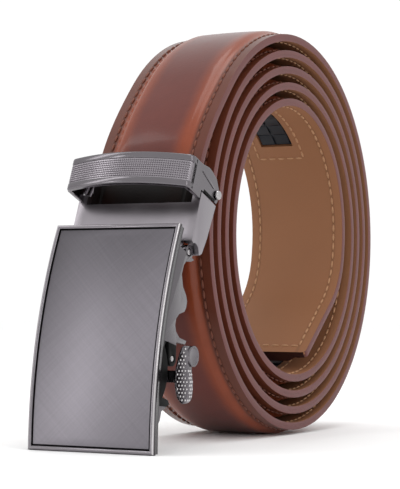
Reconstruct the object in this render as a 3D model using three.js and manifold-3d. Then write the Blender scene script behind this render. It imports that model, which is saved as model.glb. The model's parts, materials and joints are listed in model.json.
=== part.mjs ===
// Ratchet belt: a leather strap coiled on its rim, its outer end held in the clamp of a slide buckle.
// Millimetres. X runs across the strap, -Y is the buckle's side, +Z is up, and it stands on Z = 0.
// The pieces are laid out with Y = 0 under the coil's centre, and the whole is then moved to its origin.
import * as THREE from 'three';
import { mergeVertices } from 'three/addons/utils/BufferGeometryUtils.js';
import Module from 'manifold-3d';

const wasm = await Module();
wasm.setup();

// Driving dimensions of the strap
const STRAP_WIDTH = 35;
const EDGE_THICKNESS = 2.4;
const CENTRE_THICKNESS = 3.8;
const LINING_THICKNESS = 1.1;
const MARGIN_WIDTH = 4.2;
const SHOULDER_WIDTH = 2.4;
const SHOULDER_STEP = 0.64;
const TIP_CLIP_WIDTH = 1.4;
const TIP_CLIP_LENGTH = 1.4;

// Driving dimensions of the coil
const INNER_RADIUS = 42.8;
const TURN_PITCH = 5.27;
const FLOOR_TURNS = 4;
const FREE_TURNS = 4.6333;
const FIRST_ANGLE = 84;
const TURN_STEP = 8;
const BRIDGE_STEPS = 5;
const TIP_SPRING_IN = 3.2;
const TIP_BEND_RADIUS = 25;
const TIP_BEND_ANGLE = 46;
const TIP_RUN = 27.6;

// Driving dimensions of the ratchet track
const TRACK_START = 141;
const TRACK_LENGTH = 285;
const TRACK_WIDTH = 11.5;
const TRACK_OFFSET = -1.8;
const TOOTH_PITCH = 5;
const TOOTH_HEIGHT = 0.6;

// Driving dimensions of the face plate
const FACE_WIDTH = 41.6;
const FACE_LENGTH = 68;
const FACE_RADIUS = 150;
const FRAME_DEPTH = 3.2;
const FRAME_RIM = 1.7;
const RECESS_DEPTH = 2;
const INLAY_THICKNESS = 1.2;
const FACE_STEPS = 14;

// Driving dimensions of the base behind the face plate
const WALL_OUTSIDE = 19.2;
const WALL_FOOT = 0.09;
const WALL_TOP = 0.93;
const WALL_JOG = 0.535;
const WALL_THICKNESS = 1.4;
const CHANNEL_DEPTH = 6;
const BACK_THICKNESS = 1.2;
const BASE_DEPTH = 12;
const BACK_PLATE = { from: 0.62, to: 0.84 };
const LOWER_BAR = { from: 0.2, to: 0.235, thickness: 1.7 };
const LUG_HEIGHT = 6.1;

// Driving dimensions of the clamp
const HINGE_AHEAD = 14.62;
const HINGE_BELOW_TOP = 3.88;
const HINGE_DEPTH = 11.54;
const CLAMP_LEAN = 22;
const PLATE_FRONT = 2.6;
const PLATE_THICKNESS = 1;
const PLATE_START = 2.6;
const PLATE_END = 15;
const WING_LENGTH = 18.2;
const WING_DEPTH = 7.2;
const CHEEK_THICKNESS = 1.1;
const CHEEK_START = 17.2;
const CLAMP_MOUTH = 27;
const STRAP_GRIP = 21.5;

// Driving dimensions of the keeper loop
const LOOP_HEIGHT = 10.3;
const LOOP_START = 16;
const LOOP_DEPTH = 11.8;
const LOOP_BOW = 3;
const LOOP_WALL = 1.5;
const LOOP_CORNER = 1.8;
const EAR_MARGIN = 1.8;

// Driving dimensions of pins, jaw and lever
const PIN_RADIUS = 0.9;
const KNUCKLE_RADIUS = 2.2;
const RIVET_ALONG = 21.4;
const RIVET_BACK = -6.5;
const RIVET_HEAD_RADIUS = 1.5;
const RIVET_HEAD_HEIGHT = 0.9;
const JAW_THICKNESS = 1.4;
const JAW_LENGTH = 11;
const JAW_BITE = 0.7;
const JAW_TEETH = 5;
const ARM_LENGTH = 6;
const ARM_WIDTH = 1.2;
const ARM_EYE = 1.5;
const ARM_EYE_ANGLE = 40;
const LEVER_PIN_BELOW_JOG = 7.38;
const LEVER_PIN_DEPTH = 11.4;
const PAWL_ABOVE_BAR = 1.52;
const PAWL_TOOTH = 1.2;
const ARM_HEIGHT = 3.4;
const ARM_DEPTH = 2.2;
const TAB_GAP = 0.6;
const TAB_FORWARD = 2.2;
const TAB_WIDTH = 5.6;
const TAB_HEIGHT = 16.5;
const TAB_THICKNESS = 2.6;
const TAB_HEAD_RADIUS = 3;
const TAB_HEAD_RISE = 0.81;
const TAB_BELOW_PIN = 0.76;

// Clearance between touching pieces, side play of hinged ones, and a small overlap for joined shapes
const GAP = 0.3;
const SIDE_PLAY = 0.5;
const JOIN = 0.2;
const ROUND_SIDES = 20;

const RAD = Math.PI / 180;
const HALF_STRAP = STRAP_WIDTH / 2;
const HALF_FACE = FACE_WIDTH / 2;
const INSIDE_WALLS = WALL_OUTSIDE - WALL_THICKNESS;
const CHANNEL_BACK = FRAME_DEPTH + GAP + CHANNEL_DEPTH;
const PLATE_BACK = PLATE_FRONT - PLATE_THICKNESS;
const COIL_RADIUS = INNER_RADIUS + TURN_PITCH * FLOOR_TURNS;
const COIL_CENTRE_Z = COIL_RADIUS + CENTRE_THICKNESS - EDGE_THICKNESS;
const LEVER_PIN_ALONG = WALL_JOG * FACE_LENGTH - LEVER_PIN_BELOW_JOG;
const PAWL_LENGTH = LEVER_PIN_ALONG - LOWER_BAR.to * FACE_LENGTH - PAWL_ABOVE_BAR;

// The hinge pin lies in front of the coil and near the top of the face plate, and the plate hangs from it.
const HINGE_ANGLE = (FACE_LENGTH - HINGE_BELOW_TOP) / FACE_RADIUS;
const HINGE_Y = -COIL_RADIUS - HINGE_AHEAD;
const HINGE_Z = (FACE_RADIUS - HINGE_DEPTH) * Math.sin(HINGE_ANGLE);
const FACE_FRONT = HINGE_Y + (FACE_RADIUS - HINGE_DEPTH) * Math.cos(HINGE_ANGLE) - FACE_RADIUS;

// Meshes and solids

function geometryFromTriangles(points, triangles) {
  const geometry = new THREE.BufferGeometry();
  geometry.setAttribute('position', new THREE.Float32BufferAttribute(points.flat(), 3));
  geometry.setIndex(triangles.flat());
  return geometry;
}

function signedVolume(points, triangles) {
  let sum = 0;
  const [a, b, c] = [new THREE.Vector3(), new THREE.Vector3(), new THREE.Vector3()];
  for (const [i, j, k] of triangles) {
    a.fromArray(points[i]);
    b.fromArray(points[j]);
    c.fromArray(points[k]);
    sum += a.dot(b.cross(c));
  }
  return sum / 6;
}

// A closed band through stations {y, z, ny, nz, section}, each section a list of [x, height on the normal].
function sweep(stations) {
  const count = stations[0].section.length;
  const points = [];
  for (const { y, z, ny, nz, section } of stations) {
    for (const [x, height] of section) points.push([x, y + ny * height, z + nz * height]);
  }
  const triangles = [];
  for (let s = 0; s < stations.length - 1; s += 1) {
    for (let i = 0; i < count; i += 1) {
      const a = s * count + i;
      const b = s * count + ((i + 1) % count);
      triangles.push([a, b, b + count], [a, b + count, a + count]);
    }
  }
  const capOf = (station, offset, turned) => {
    const outline = station.section.map(([x, height]) => new THREE.Vector2(x, height));
    for (const [i, j, k] of THREE.ShapeUtils.triangulateShape(outline, [])) {
      const corners = turned ? [k, j, i] : [i, j, k];
      triangles.push(corners.map((corner) => offset + corner));
    }
  };
  const last = stations.length - 1;
  capOf(stations[0], 0, true);
  capOf(stations[last], last * count, false);
  const outward = signedVolume(points, triangles) > 0;
  return geometryFromTriangles(points, outward ? triangles : triangles.map(([i, j, k]) => [i, k, j]));
}

function solid(geometry) {
  const bare = geometry.clone();
  bare.deleteAttribute('normal');
  bare.deleteAttribute('uv');
  const merged = mergeVertices(bare, 1e-4);
  return new wasm.Manifold(new wasm.Mesh({
    numProp: 3,
    vertProperties: new Float32Array(merged.attributes.position.array),
    triVerts: new Uint32Array(merged.index.array),
  }));
}

function geometryOf(body) {
  const { vertProperties, triVerts } = body.getMesh();
  const geometry = new THREE.BufferGeometry();
  geometry.setAttribute('position', new THREE.BufferAttribute(new Float32Array(vertProperties), 3));
  geometry.setIndex(new THREE.BufferAttribute(new Uint32Array(triVerts), 1));
  return geometry;
}

function joined(...geometries) {
  return geometryOf(geometries.map(solid).reduce((whole, next) => whole.add(next)));
}

function cut(geometry, ...tools) {
  return geometryOf(tools.map(solid).reduce((whole, tool) => whole.subtract(tool), solid(geometry)));
}

// A plate cut from an outline of [y, z] points, between two values of x.
function plateYZ(outline, xFrom, xTo) {
  const shape = new THREE.Shape(outline.map(([y, z]) => new THREE.Vector2(y, z)));
  const plate = new THREE.ExtrudeGeometry(shape, { depth: xTo - xFrom, bevelEnabled: false });
  const frame = new THREE.Matrix4().makeBasis(
    new THREE.Vector3(0, 1, 0), new THREE.Vector3(0, 0, 1), new THREE.Vector3(1, 0, 0));
  return plate.applyMatrix4(frame).translate(xFrom, 0, 0);
}

function rodX(y, z, radius, xFrom, xTo, sides = ROUND_SIDES) {
  const rod = new THREE.CylinderGeometry(radius, radius, xTo - xFrom, sides);
  return rod.rotateZ(Math.PI / 2).translate((xFrom + xTo) / 2, y, z);
}

function mirroredPair(make) {
  return [make(1), make(-1)];
}

// Both ends of a plate or rod on one side of the buckle, in rising order.
function sideRange(side, near, far) {
  return side > 0 ? [near, far] : [-far, -near];
}

function circlePoints(centre, radius, from, to, steps) {
  return Array.from({ length: steps + 1 }, (_, i) => {
    const angle = (from + ((to - from) * i) / steps) * RAD;
    return [centre[0] + radius * Math.cos(angle), centre[1] + radius * Math.sin(angle)];
  });
}

// Frames of reference

// Along and out from the clamp's hinge pin, as y and z.
const CLAMP_UP = [Math.sin(CLAMP_LEAN * RAD), Math.cos(CLAMP_LEAN * RAD)];
const CLAMP_OUT = [-CLAMP_UP[1], CLAMP_UP[0]];

function clampPoint(along, out) {
  return [
    HINGE_Y + along * CLAMP_UP[0] + out * CLAMP_OUT[0],
    HINGE_Z + along * CLAMP_UP[1] + out * CLAMP_OUT[1],
  ];
}

// Along the curved face from its foot, and in from its front.
function facePoint(along, inward) {
  const angle = along / FACE_RADIUS;
  return [
    FACE_FRONT + FACE_RADIUS - (FACE_RADIUS - inward) * Math.cos(angle),
    (FACE_RADIUS - inward) * Math.sin(angle),
  ];
}

function faceBand(halfWidth, from, to, front, back) {
  const section = [[-halfWidth, 0], [halfWidth, 0], [halfWidth, back - front], [-halfWidth, back - front]];
  return sweep(Array.from({ length: FACE_STEPS + 1 }, (_, i) => {
    const along = from + ((to - from) * i) / FACE_STEPS;
    const [y, z] = facePoint(along, front);
    const angle = along / FACE_RADIUS;
    return { y, z, ny: Math.cos(angle), nz: -Math.sin(angle), section };
  }));
}

// The strap's path, along its lining face from the tip to the clamp

function coilRadius(angle) {
  const springing = THREE.MathUtils.smoothstep(180 - angle, 0, 110);
  return INNER_RADIUS + (TURN_PITCH * angle) / 360 - EDGE_THICKNESS - TIP_SPRING_IN * springing;
}

function coilPoint(angle) {
  const radius = coilRadius(angle);
  return [radius * Math.sin(angle * RAD), COIL_CENTRE_Z - radius * Math.cos(angle * RAD)];
}

function tipPoints(start, heading) {
  const points = [];
  const bendSteps = 4;
  const step = (TIP_BEND_ANGLE * RAD) / bendSteps;
  let [y, z] = start;
  let direction = heading;
  for (let i = 0; i < bendSteps; i += 1) {
    direction += step;
    y -= TIP_BEND_RADIUS * step * Math.sin(direction - step / 2);
    z -= TIP_BEND_RADIUS * step * Math.cos(direction - step / 2);
    points.push([y, z]);
  }
  for (const length of [TIP_RUN / 2, TIP_RUN - TIP_CLIP_LENGTH, TIP_RUN]) {
    points.push([y - length * Math.sin(direction), z - length * Math.cos(direction)]);
  }
  return points.reverse();
}

// The free stretch from the coil to the clamp's mouth is one smooth curve.
function bridgePoints(from, fromHeading, to, toHeading, steps) {
  const reach = Math.hypot(to[0] - from[0], to[1] - from[1]);
  const curve = new THREE.CubicBezierCurve(
    new THREE.Vector2(...from),
    new THREE.Vector2(from[0] + (fromHeading[0] * reach) / 3, from[1] + (fromHeading[1] * reach) / 3),
    new THREE.Vector2(to[0] - (toHeading[0] * reach) / 3, to[1] - (toHeading[1] * reach) / 3),
    new THREE.Vector2(...to),
  );
  return curve.getPoints(steps).slice(1, -1).map(({ x, y }) => [x, y]);
}

function strapPath() {
  const lastAngle = FREE_TURNS * 360;
  const sweepAngle = lastAngle - FIRST_ANGLE;
  const steps = Math.round(sweepAngle / TURN_STEP);
  const coil = Array.from({ length: steps + 1 }, (_, i) => {
    const angle = FIRST_ANGLE + (sweepAngle * i) / steps;
    return [...coilPoint(angle), angle];
  });
  const heading = Math.atan2(-(coil[0][0] - coil[1][0]), -(coil[0][1] - coil[1][1]));
  const grip = PLATE_BACK - GAP - EDGE_THICKNESS;
  const mouth = clampPoint(CLAMP_MOUTH, grip);
  const [before, after] = [coil[steps - 1], coil[steps]];
  const run = Math.hypot(after[0] - before[0], after[1] - before[1]);
  const leaving = [(after[0] - before[0]) / run, (after[1] - before[1]) / run];
  const bridge = bridgePoints(after, leaving, mouth, [-CLAMP_UP[0], -CLAMP_UP[1]], BRIDGE_STEPS);
  const held = [0, 0.2, 1].map((share) => clampPoint(CLAMP_MOUTH - STRAP_GRIP * share, grip));
  const points = [...tipPoints(coil[0], heading), ...coil, ...bridge, ...held];
  const flatFrom = points.length - held.length;
  return points.map(([y, z, angle], i) => {
    const [y0, z0] = points[Math.max(i - 1, 0)];
    const [y1, z1] = points[Math.min(i + 1, points.length - 1)];
    const length = Math.hypot(y1 - y0, z1 - z0);
    return {
      y,
      z,
      angle,
      ny: (z1 - z0) / length,
      nz: -(y1 - y0) / length,
      crown: i > flatFrom ? 0 : 1,
      clip: i === 0 ? TIP_CLIP_WIDTH : 0,
    };
  });
}

// Length along the path at each station, and a station at any length between them.
function measured(path) {
  let length = 0;
  return path.map((station, i) => {
    if (i > 0) length += Math.hypot(station.y - path[i - 1].y, station.z - path[i - 1].z);
    return { ...station, length };
  });
}

function stationAt(path, length) {
  const next = Math.max(1, path.findIndex((station) => station.length >= length));
  const [a, b] = [path[next - 1], path[next]];
  const share = (length - a.length) / (b.length - a.length);
  const mix = (name) => a[name] + (b[name] - a[name]) * share;
  return { y: mix('y'), z: mix('z'), ny: mix('ny'), nz: mix('nz') };
}

const STRAP_PATH = measured(strapPath());

// Strap, lining and track

function leatherSection({ crown, clip }) {
  const half = HALF_STRAP - clip;
  const flat = half - MARGIN_WIDTH;
  const rise = (CENTRE_THICKNESS - EDGE_THICKNESS) * crown;
  const right = [
    [half, LINING_THICKNESS + GAP], [half, EDGE_THICKNESS], [flat, EDGE_THICKNESS],
    [flat - SHOULDER_WIDTH / 3, EDGE_THICKNESS + rise * SHOULDER_STEP],
    [flat - SHOULDER_WIDTH, EDGE_THICKNESS + rise],
  ];
  return [...right, ...right.map(([x, height]) => [-x, height]).reverse()];
}

function strapLeather() {
  return sweep(STRAP_PATH.map((station) => ({ ...station, section: leatherSection(station) })));
}

function trackRange(margin) {
  const next = STRAP_PATH.findIndex(({ angle }) => angle >= TRACK_START);
  const [a, b] = [STRAP_PATH[next - 1], STRAP_PATH[next]];
  const start = a.length + ((b.length - a.length) * (TRACK_START - a.angle)) / (b.angle - a.angle);
  return [start - margin, start + TRACK_LENGTH + margin];
}

function flatSection(left, right, low, high) {
  return [[left, low], [right, low], [right, high], [left, high]];
}

function strapLining() {
  const lining = sweep(STRAP_PATH.map((station) => {
    const half = HALF_STRAP - station.clip;
    return { ...station, section: flatSection(-half, half, 0, LINING_THICKNESS) };
  }));
  const half = TRACK_WIDTH / 2 + GAP;
  const [from, to] = trackRange(GAP);
  const section = flatSection(TRACK_OFFSET - half, TRACK_OFFSET + half, -JOIN, LINING_THICKNESS + JOIN);
  const between = STRAP_PATH.filter(({ length }) => length > from + JOIN && length < to - JOIN);
  const window = [stationAt(STRAP_PATH, from), ...between, stationAt(STRAP_PATH, to)];
  return cut(lining, sweep(window.map((station) => ({ ...station, section }))));
}

// One tooth of the track: shares of its pitch and of its height.
const TOOTH_PROFILE = [{ along: 0.05, raised: 0 }, { along: 0.82, raised: 1 }, { along: 0.95, raised: 0 }];

function ratchetTrack() {
  const half = TRACK_WIDTH / 2;
  const [from, to] = trackRange(0);
  const teeth = Math.floor((to - from) / TOOTH_PITCH);
  const stations = [];
  for (let tooth = 0; tooth < teeth; tooth += 1) {
    for (const { along, raised } of TOOTH_PROFILE) {
      const top = JOIN + TOOTH_HEIGHT * (1 - raised);
      stations.push({
        ...stationAt(STRAP_PATH, from + (tooth + along) * TOOTH_PITCH),
        section: flatSection(TRACK_OFFSET - half, TRACK_OFFSET + half, top, LINING_THICKNESS),
      });
    }
  }
  return sweep(stations);
}

// Face plate

function faceFrame() {
  const whole = faceBand(HALF_FACE, 0, FACE_LENGTH, 0, FRAME_DEPTH);
  const recess = faceBand(HALF_FACE - FRAME_RIM, FRAME_RIM, FACE_LENGTH - FRAME_RIM, -1, RECESS_DEPTH);
  return cut(whole, recess);
}

function faceInlay() {
  const inset = FRAME_RIM + GAP;
  const front = RECESS_DEPTH - GAP - INLAY_THICKNESS;
  return faceBand(HALF_FACE - inset, inset, FACE_LENGTH - inset, front, front + INLAY_THICKNESS);
}

// Base: two side walls with a scalloped back edge, a back plate, a lower bar and two pairs of pin lugs

// Back edge of a side wall: share of the face's length, and share of the base's depth in from the face.
const WALL_EDGE = [
  { along: 0.146, depth: 0.55 }, { along: 0.184, depth: 0.6 },
  { along: 0.2, depth: 0.78 }, { along: 0.219, depth: 0.97 }, { along: 0.236, depth: 0.9 },
  { along: 0.243, depth: 0.66 }, { along: 0.25, depth: 0.5 }, { along: 0.3, depth: 0.46 },
  { along: 0.45, depth: 0.46 }, { along: 0.49, depth: 0.56 }, { along: 0.505, depth: 0.9 },
  { along: 0.515, depth: 1.5 }, { along: WALL_JOG, depth: 1.55 }, { along: WALL_JOG, depth: 1.18 },
  { along: 0.555, depth: 0.98 }, { along: 0.58, depth: 0.9 }, { along: 0.61, depth: 0.9 },
  { along: 0.64, depth: 1.02 }, { along: 0.665, depth: 1.26 }, { along: 0.69, depth: 1.31 },
  { along: 0.72, depth: 1.31 }, { along: 0.745, depth: 1.2 }, { along: 0.77, depth: 0.99 },
  { along: 0.82, depth: 0.82 }, { along: 0.865, depth: 0.83 }, { along: 0.89, depth: 0.9 },
  { along: 0.91, depth: 1.14 }, { along: 0.93, depth: 1.26 },
];

function wallOutline() {
  const steps = 8;
  const frontEdge = Array.from({ length: steps + 1 }, (_, i) => {
    const along = WALL_FOOT + ((WALL_TOP - WALL_FOOT) * i) / steps;
    return facePoint(along * FACE_LENGTH, FRAME_DEPTH + GAP);
  });
  const backEdge = WALL_EDGE.map(({ along, depth }) => facePoint(along * FACE_LENGTH, depth * BASE_DEPTH));
  return [...frontEdge, ...backEdge.reverse()];
}

function leverPin() {
  return facePoint(LEVER_PIN_ALONG, LEVER_PIN_DEPTH);
}

function lugOutline() {
  const [y, z] = leverPin();
  const eye = circlePoints([y, z], KNUCKLE_RADIUS, 180, 360, 10);
  return [...eye, [y + KNUCKLE_RADIUS + JOIN, z + LUG_HEIGHT], [y - KNUCKLE_RADIUS, z + LUG_HEIGHT]];
}

function crossBand({ from, to, thickness }) {
  const half = INSIDE_WALLS + JOIN;
  return faceBand(half, from * FACE_LENGTH, to * FACE_LENGTH, CHANNEL_BACK, CHANNEL_BACK + thickness);
}

function buckleBase() {
  const sides = mirroredPair((side) => {
    const [from, to] = sideRange(side, INSIDE_WALLS, WALL_OUTSIDE);
    return [plateYZ(wallOutline(), from, to), plateYZ(lugOutline(), from, to),
      rodX(HINGE_Y, HINGE_Z, KNUCKLE_RADIUS, from, to)];
  }).flat();
  const bands = [crossBand({ ...BACK_PLATE, thickness: BACK_THICKNESS }), crossBand(LOWER_BAR)];
  const [leverY, leverZ] = leverPin();
  return cut(joined(...sides, ...bands),
    rodX(HINGE_Y, HINGE_Z, PIN_RADIUS + GAP, -WALL_OUTSIDE - JOIN, WALL_OUTSIDE + JOIN),
    rodX(leverY, leverZ, PIN_RADIUS + GAP, -WALL_OUTSIDE - JOIN, WALL_OUTSIDE + JOIN));
}

// Clamp housing: front plate, wings, cheeks for the rivets and the hinge barrel

function clampOutline(pairs) {
  return pairs.map(([along, out]) => clampPoint(along, out));
}

// Back edge of a wing, from its end to its foot: shares of its length and of its depth.
const WING_EDGE = [
  { along: 1, back: 1 }, { along: 0.37, back: 0.8 }, { along: 0.08, back: 0.62 }, { along: 0.02, back: 0.45 },
];

function wingOutline() {
  const edge = WING_EDGE.map(({ along, back }) => [along * WING_LENGTH, -back * WING_DEPTH]);
  return clampOutline([[PLATE_START, PLATE_FRONT], [WING_LENGTH, PLATE_FRONT], ...edge]);
}

function cheekOutline() {
  const top = RIVET_ALONG + KNUCKLE_RADIUS;
  return clampOutline([
    [CHEEK_START, PLATE_BACK], [top, PLATE_BACK - KNUCKLE_RADIUS], [top, RIVET_BACK],
    [RIVET_ALONG, RIVET_BACK - KNUCKLE_RADIUS / 2], [CHEEK_START, -WING_DEPTH],
  ]);
}

// The web carries the front plate down to the hinge barrel.
function webOutline() {
  const low = PLATE_BACK - PLATE_THICKNESS / 2;
  return clampOutline([
    [PIN_RADIUS, low], [PLATE_START, low], [PLATE_START + PLATE_THICKNESS, PLATE_BACK],
    [PLATE_START + PLATE_THICKNESS, PLATE_BACK + JOIN], [PIN_RADIUS, PLATE_BACK + JOIN],
  ]);
}

function clampHousing() {
  const wingInside = HALF_STRAP + GAP + JOIN;
  const barrelEnd = INSIDE_WALLS - SIDE_PLAY;
  const plateOutline = clampOutline([
    [PLATE_START, PLATE_FRONT], [PLATE_START, PLATE_BACK], [PLATE_END, PLATE_BACK], [PLATE_END, PLATE_FRONT],
  ]);
  const sides = mirroredPair((side) => [
    plateYZ(wingOutline(), ...sideRange(side, wingInside, HALF_FACE)),
    plateYZ(cheekOutline(), ...sideRange(side, wingInside, wingInside + CHEEK_THICKNESS)),
  ]).flat();
  const whole = joined(
    plateYZ(plateOutline, -HALF_FACE + JOIN, HALF_FACE - JOIN),
    plateYZ(webOutline(), -barrelEnd, barrelEnd),
    rodX(HINGE_Y, HINGE_Z, KNUCKLE_RADIUS, -barrelEnd, barrelEnd),
    ...sides,
  );
  const notches = mirroredPair((side) =>
    rodX(HINGE_Y, HINGE_Z, KNUCKLE_RADIUS + SIDE_PLAY, ...sideRange(side, barrelEnd, HALF_FACE + JOIN)));
  const [rivetY, rivetZ] = clampPoint(RIVET_ALONG, RIVET_BACK);
  return cut(whole, ...notches,
    rodX(HINGE_Y, HINGE_Z, PIN_RADIUS + GAP, -HALF_FACE, HALF_FACE),
    rodX(rivetY, rivetZ, PIN_RADIUS + GAP, -HALF_FACE, HALF_FACE));
}

// Keeper loop: a bowed front bar, two legs and the ears that the rivets hold

function loopOutline() {
  const bowSteps = 10;
  const outerHalf = HALF_FACE - LOOP_CORNER;
  const innerHalf = outerHalf - LOOP_WALL + LOOP_CORNER / 2;
  const outer = Array.from({ length: bowSteps + 1 }, (_, i) => {
    const share = -1 + (2 * i) / bowSteps;
    return [share * outerHalf, LOOP_DEPTH + LOOP_BOW * (1 - share * share)];
  });
  const inner = outer.map(([x, out]) => [(x * innerHalf) / outerHalf, out - LOOP_WALL]).reverse();
  const foot = LOOP_DEPTH - 2 * LOOP_CORNER;
  const shoulder = LOOP_DEPTH - LOOP_CORNER;
  const leg = HALF_FACE - LOOP_WALL;
  return [
    [-HALF_FACE, foot], [-HALF_FACE, shoulder], ...outer, [HALF_FACE, shoulder], [HALF_FACE, foot],
    [leg, foot], ...inner, [-leg, foot],
  ];
}

// A leg of the loop and the ear behind it, which the rivet holds.
function earOutline() {
  const top = LOOP_START + LOOP_HEIGHT;
  const legFront = LOOP_DEPTH - LOOP_CORNER;
  const earFoot = WING_LENGTH + 2 * GAP;
  const earBack = RIVET_BACK - EAR_MARGIN;
  return clampOutline([
    [LOOP_START, PLATE_FRONT + GAP], [LOOP_START, legFront], [top, legFront], [top, legFront / 2],
    [top + LOOP_WALL / 2, 0], [top + LOOP_WALL / 2, RIVET_BACK + EAR_MARGIN],
    [RIVET_ALONG + EAR_MARGIN, RIVET_BACK - EAR_MARGIN / 2], [RIVET_ALONG, earBack],
    [earFoot, earBack + EAR_MARGIN / 2], [earFoot, PLATE_FRONT + GAP],
  ]);
}

function keeperLoop() {
  const shape = new THREE.Shape(loopOutline().map(([x, out]) => new THREE.Vector2(x, out)));
  const bar = new THREE.ExtrudeGeometry(shape, { depth: LOOP_HEIGHT, bevelEnabled: false });
  const [y, z] = clampPoint(LOOP_START, 0);
  const frame = new THREE.Matrix4().makeBasis(
    new THREE.Vector3(-1, 0, 0), new THREE.Vector3(0, ...CLAMP_OUT), new THREE.Vector3(0, ...CLAMP_UP));
  bar.applyMatrix4(frame).translate(0, y, z);
  const ears = mirroredPair((side) =>
    plateYZ(earOutline(), ...sideRange(side, HALF_FACE - LOOP_WALL + GAP / 3, HALF_FACE)));
  const [rivetY, rivetZ] = clampPoint(RIVET_ALONG, RIVET_BACK);
  const reach = HALF_FACE + JOIN;
  return cut(joined(bar, ...ears), rodX(rivetY, rivetZ, PIN_RADIUS + GAP, -reach, reach));
}

// Rivets, pins, jaw and lever

function rivet(side) {
  const [y, z] = clampPoint(RIVET_ALONG, RIVET_BACK);
  const headStart = HALF_FACE + GAP;
  return joined(
    rodX(y, z, PIN_RADIUS, ...sideRange(side, HALF_STRAP - GAP - ARM_WIDTH, headStart + JOIN)),
    rodX(y, z, RIVET_HEAD_RADIUS, ...sideRange(side, headStart, headStart + RIVET_HEAD_HEIGHT)),
  );
}

function clampJaw() {
  const front = PLATE_BACK - EDGE_THICKNESS - 2 * GAP;
  const root = front - JAW_BITE;
  const back = root - JAW_THICKNESS;
  const end = RIVET_ALONG - ARM_EYE + JOIN / 2;
  const start = end - JAW_LENGTH;
  const pitch = JAW_LENGTH / (JAW_TEETH + 1);
  const teeth = Array.from({ length: JAW_TEETH }, (_, i) => [
    [start + i * pitch, root], [start + (i + 0.75) * pitch, front], [start + (i + 0.95) * pitch, root],
  ]).flat();
  const plate = [...teeth, [end, root], [end, back], [start, back]];
  const eye = circlePoints([RIVET_ALONG, RIVET_BACK], ARM_EYE, ARM_EYE_ANGLE, -180, 9);
  const arm = [[end - ARM_LENGTH, root], [end, root], ...eye, [end - ARM_LENGTH, back]];
  const outside = HALF_STRAP - GAP;
  const arms = mirroredPair((side) =>
    plateYZ(clampOutline(arm), ...sideRange(side, outside - ARM_WIDTH, outside)));
  const [y, z] = clampPoint(RIVET_ALONG, RIVET_BACK);
  return cut(joined(plateYZ(clampOutline(plate), -outside, outside), ...arms),
    rodX(y, z, PIN_RADIUS + GAP, -HALF_STRAP, HALF_STRAP));
}

// Outline of the lever's tab seen from the front: shares of its width and height.
const TAB_OUTLINE = [
  { across: 0.6, up: 0 }, { across: 0.86, up: 0.04 }, { across: 0.98, up: 0.16 }, { across: 1, up: 0.36 },
  { across: 0.93, up: 0.5 }, { across: 0.9, up: 0.62 }, { across: 1, up: 0.72 }, { across: 1, up: 0.9 },
  { across: 0.85, up: 1 }, { across: 0.6, up: 1 }, { across: 0.4, up: 0.9 }, { across: 0.2, up: 0.74 },
  { across: 0.03, up: 0.55 }, { across: 0, up: 0.36 }, { across: 0.12, up: 0.17 }, { across: 0.32, up: 0.05 },
];

function leverTab(tabStart, tabFoot, tabFront) {
  const shape = new THREE.Shape(TAB_OUTLINE.map(({ across, up }) =>
    new THREE.Vector2(tabStart + across * TAB_WIDTH, tabFoot + up * TAB_HEIGHT)));
  const tab = new THREE.ExtrudeGeometry(shape, { depth: TAB_THICKNESS, bevelEnabled: false });
  tab.applyMatrix4(new THREE.Matrix4().makeBasis(
    new THREE.Vector3(1, 0, 0), new THREE.Vector3(0, 0, 1), new THREE.Vector3(0, -1, 0)));
  return tab.translate(0, tabFront + TAB_THICKNESS, 0);
}

function releaseLever() {
  const [pinY, pinZ] = leverPin();
  const inside = INSIDE_WALLS - SIDE_PLAY;
  const tabStart = HALF_FACE + TAB_GAP;
  const tabFoot = pinZ - TAB_BELOW_PIN * TAB_HEIGHT;
  const tabFront = pinY - TAB_FORWARD;
  const tab = leverTab(tabStart, tabFoot, tabFront);
  const headZ = tabFoot + TAB_HEAD_RISE * TAB_HEIGHT;
  const tabEnd = tabStart + TAB_WIDTH;
  const head = rodX(tabFront + TAB_HEAD_RADIUS, headZ, TAB_HEAD_RADIUS, tabStart + TAB_WIDTH / 3, tabEnd);
  const front = CHANNEL_BACK + GAP;
  const pawlEnd = LEVER_PIN_ALONG - PAWL_LENGTH;
  const pawlHalf = TRACK_WIDTH / 2 + ARM_HEIGHT;
  const pawl = faceBand(pawlHalf, pawlEnd, LEVER_PIN_ALONG, front, front + BACK_THICKNESS);
  const tooth = faceBand(TRACK_WIDTH / 2, pawlEnd, pawlEnd + PAWL_TOOTH, front - PAWL_TOOTH, front + JOIN);
  const barrel = rodX(pinY, pinZ, KNUCKLE_RADIUS - JOIN, -inside, inside);
  const armStart = TRACK_WIDTH / 2;
  const armEnd = tabStart + TAB_WIDTH / 2;
  const [armY, armZ] = facePoint(LEVER_PIN_ALONG - PAWL_LENGTH / 2, front);
  const arm = new THREE.BoxGeometry(armEnd - armStart, ARM_DEPTH, ARM_HEIGHT);
  arm.translate((armStart + armEnd) / 2, armY + ARM_DEPTH / 2, armZ);
  return cut(joined(tab, head, arm, pawl, tooth, barrel),
    rodX(pinY, pinZ, PIN_RADIUS + GAP, -INSIDE_WALLS, INSIDE_WALLS));
}

// Finishes

function finish(colour, roughness, metalness) {
  return new THREE.MeshStandardMaterial({ color: colour, roughness, metalness });
}

const LEATHER = finish(0x7a3d2c, 0.3, 0);
const LINING = finish(0xa5764f, 0.7, 0);
const BLACK_PLASTIC = finish(0x1c1d22, 0.5, 0);
const GUNMETAL = finish(0x77747a, 0.32, 0.9);
const BRUSHED = finish(0x6c6a70, 0.45, 0.9);
const STEEL = finish(0xa9a8aa, 0.3, 0.9);

const belt = new THREE.Group();

function addPiece(name, geometry, material) {
  const mesh = new THREE.Mesh(geometry, material);
  mesh.name = name;
  belt.add(mesh);
}

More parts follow.
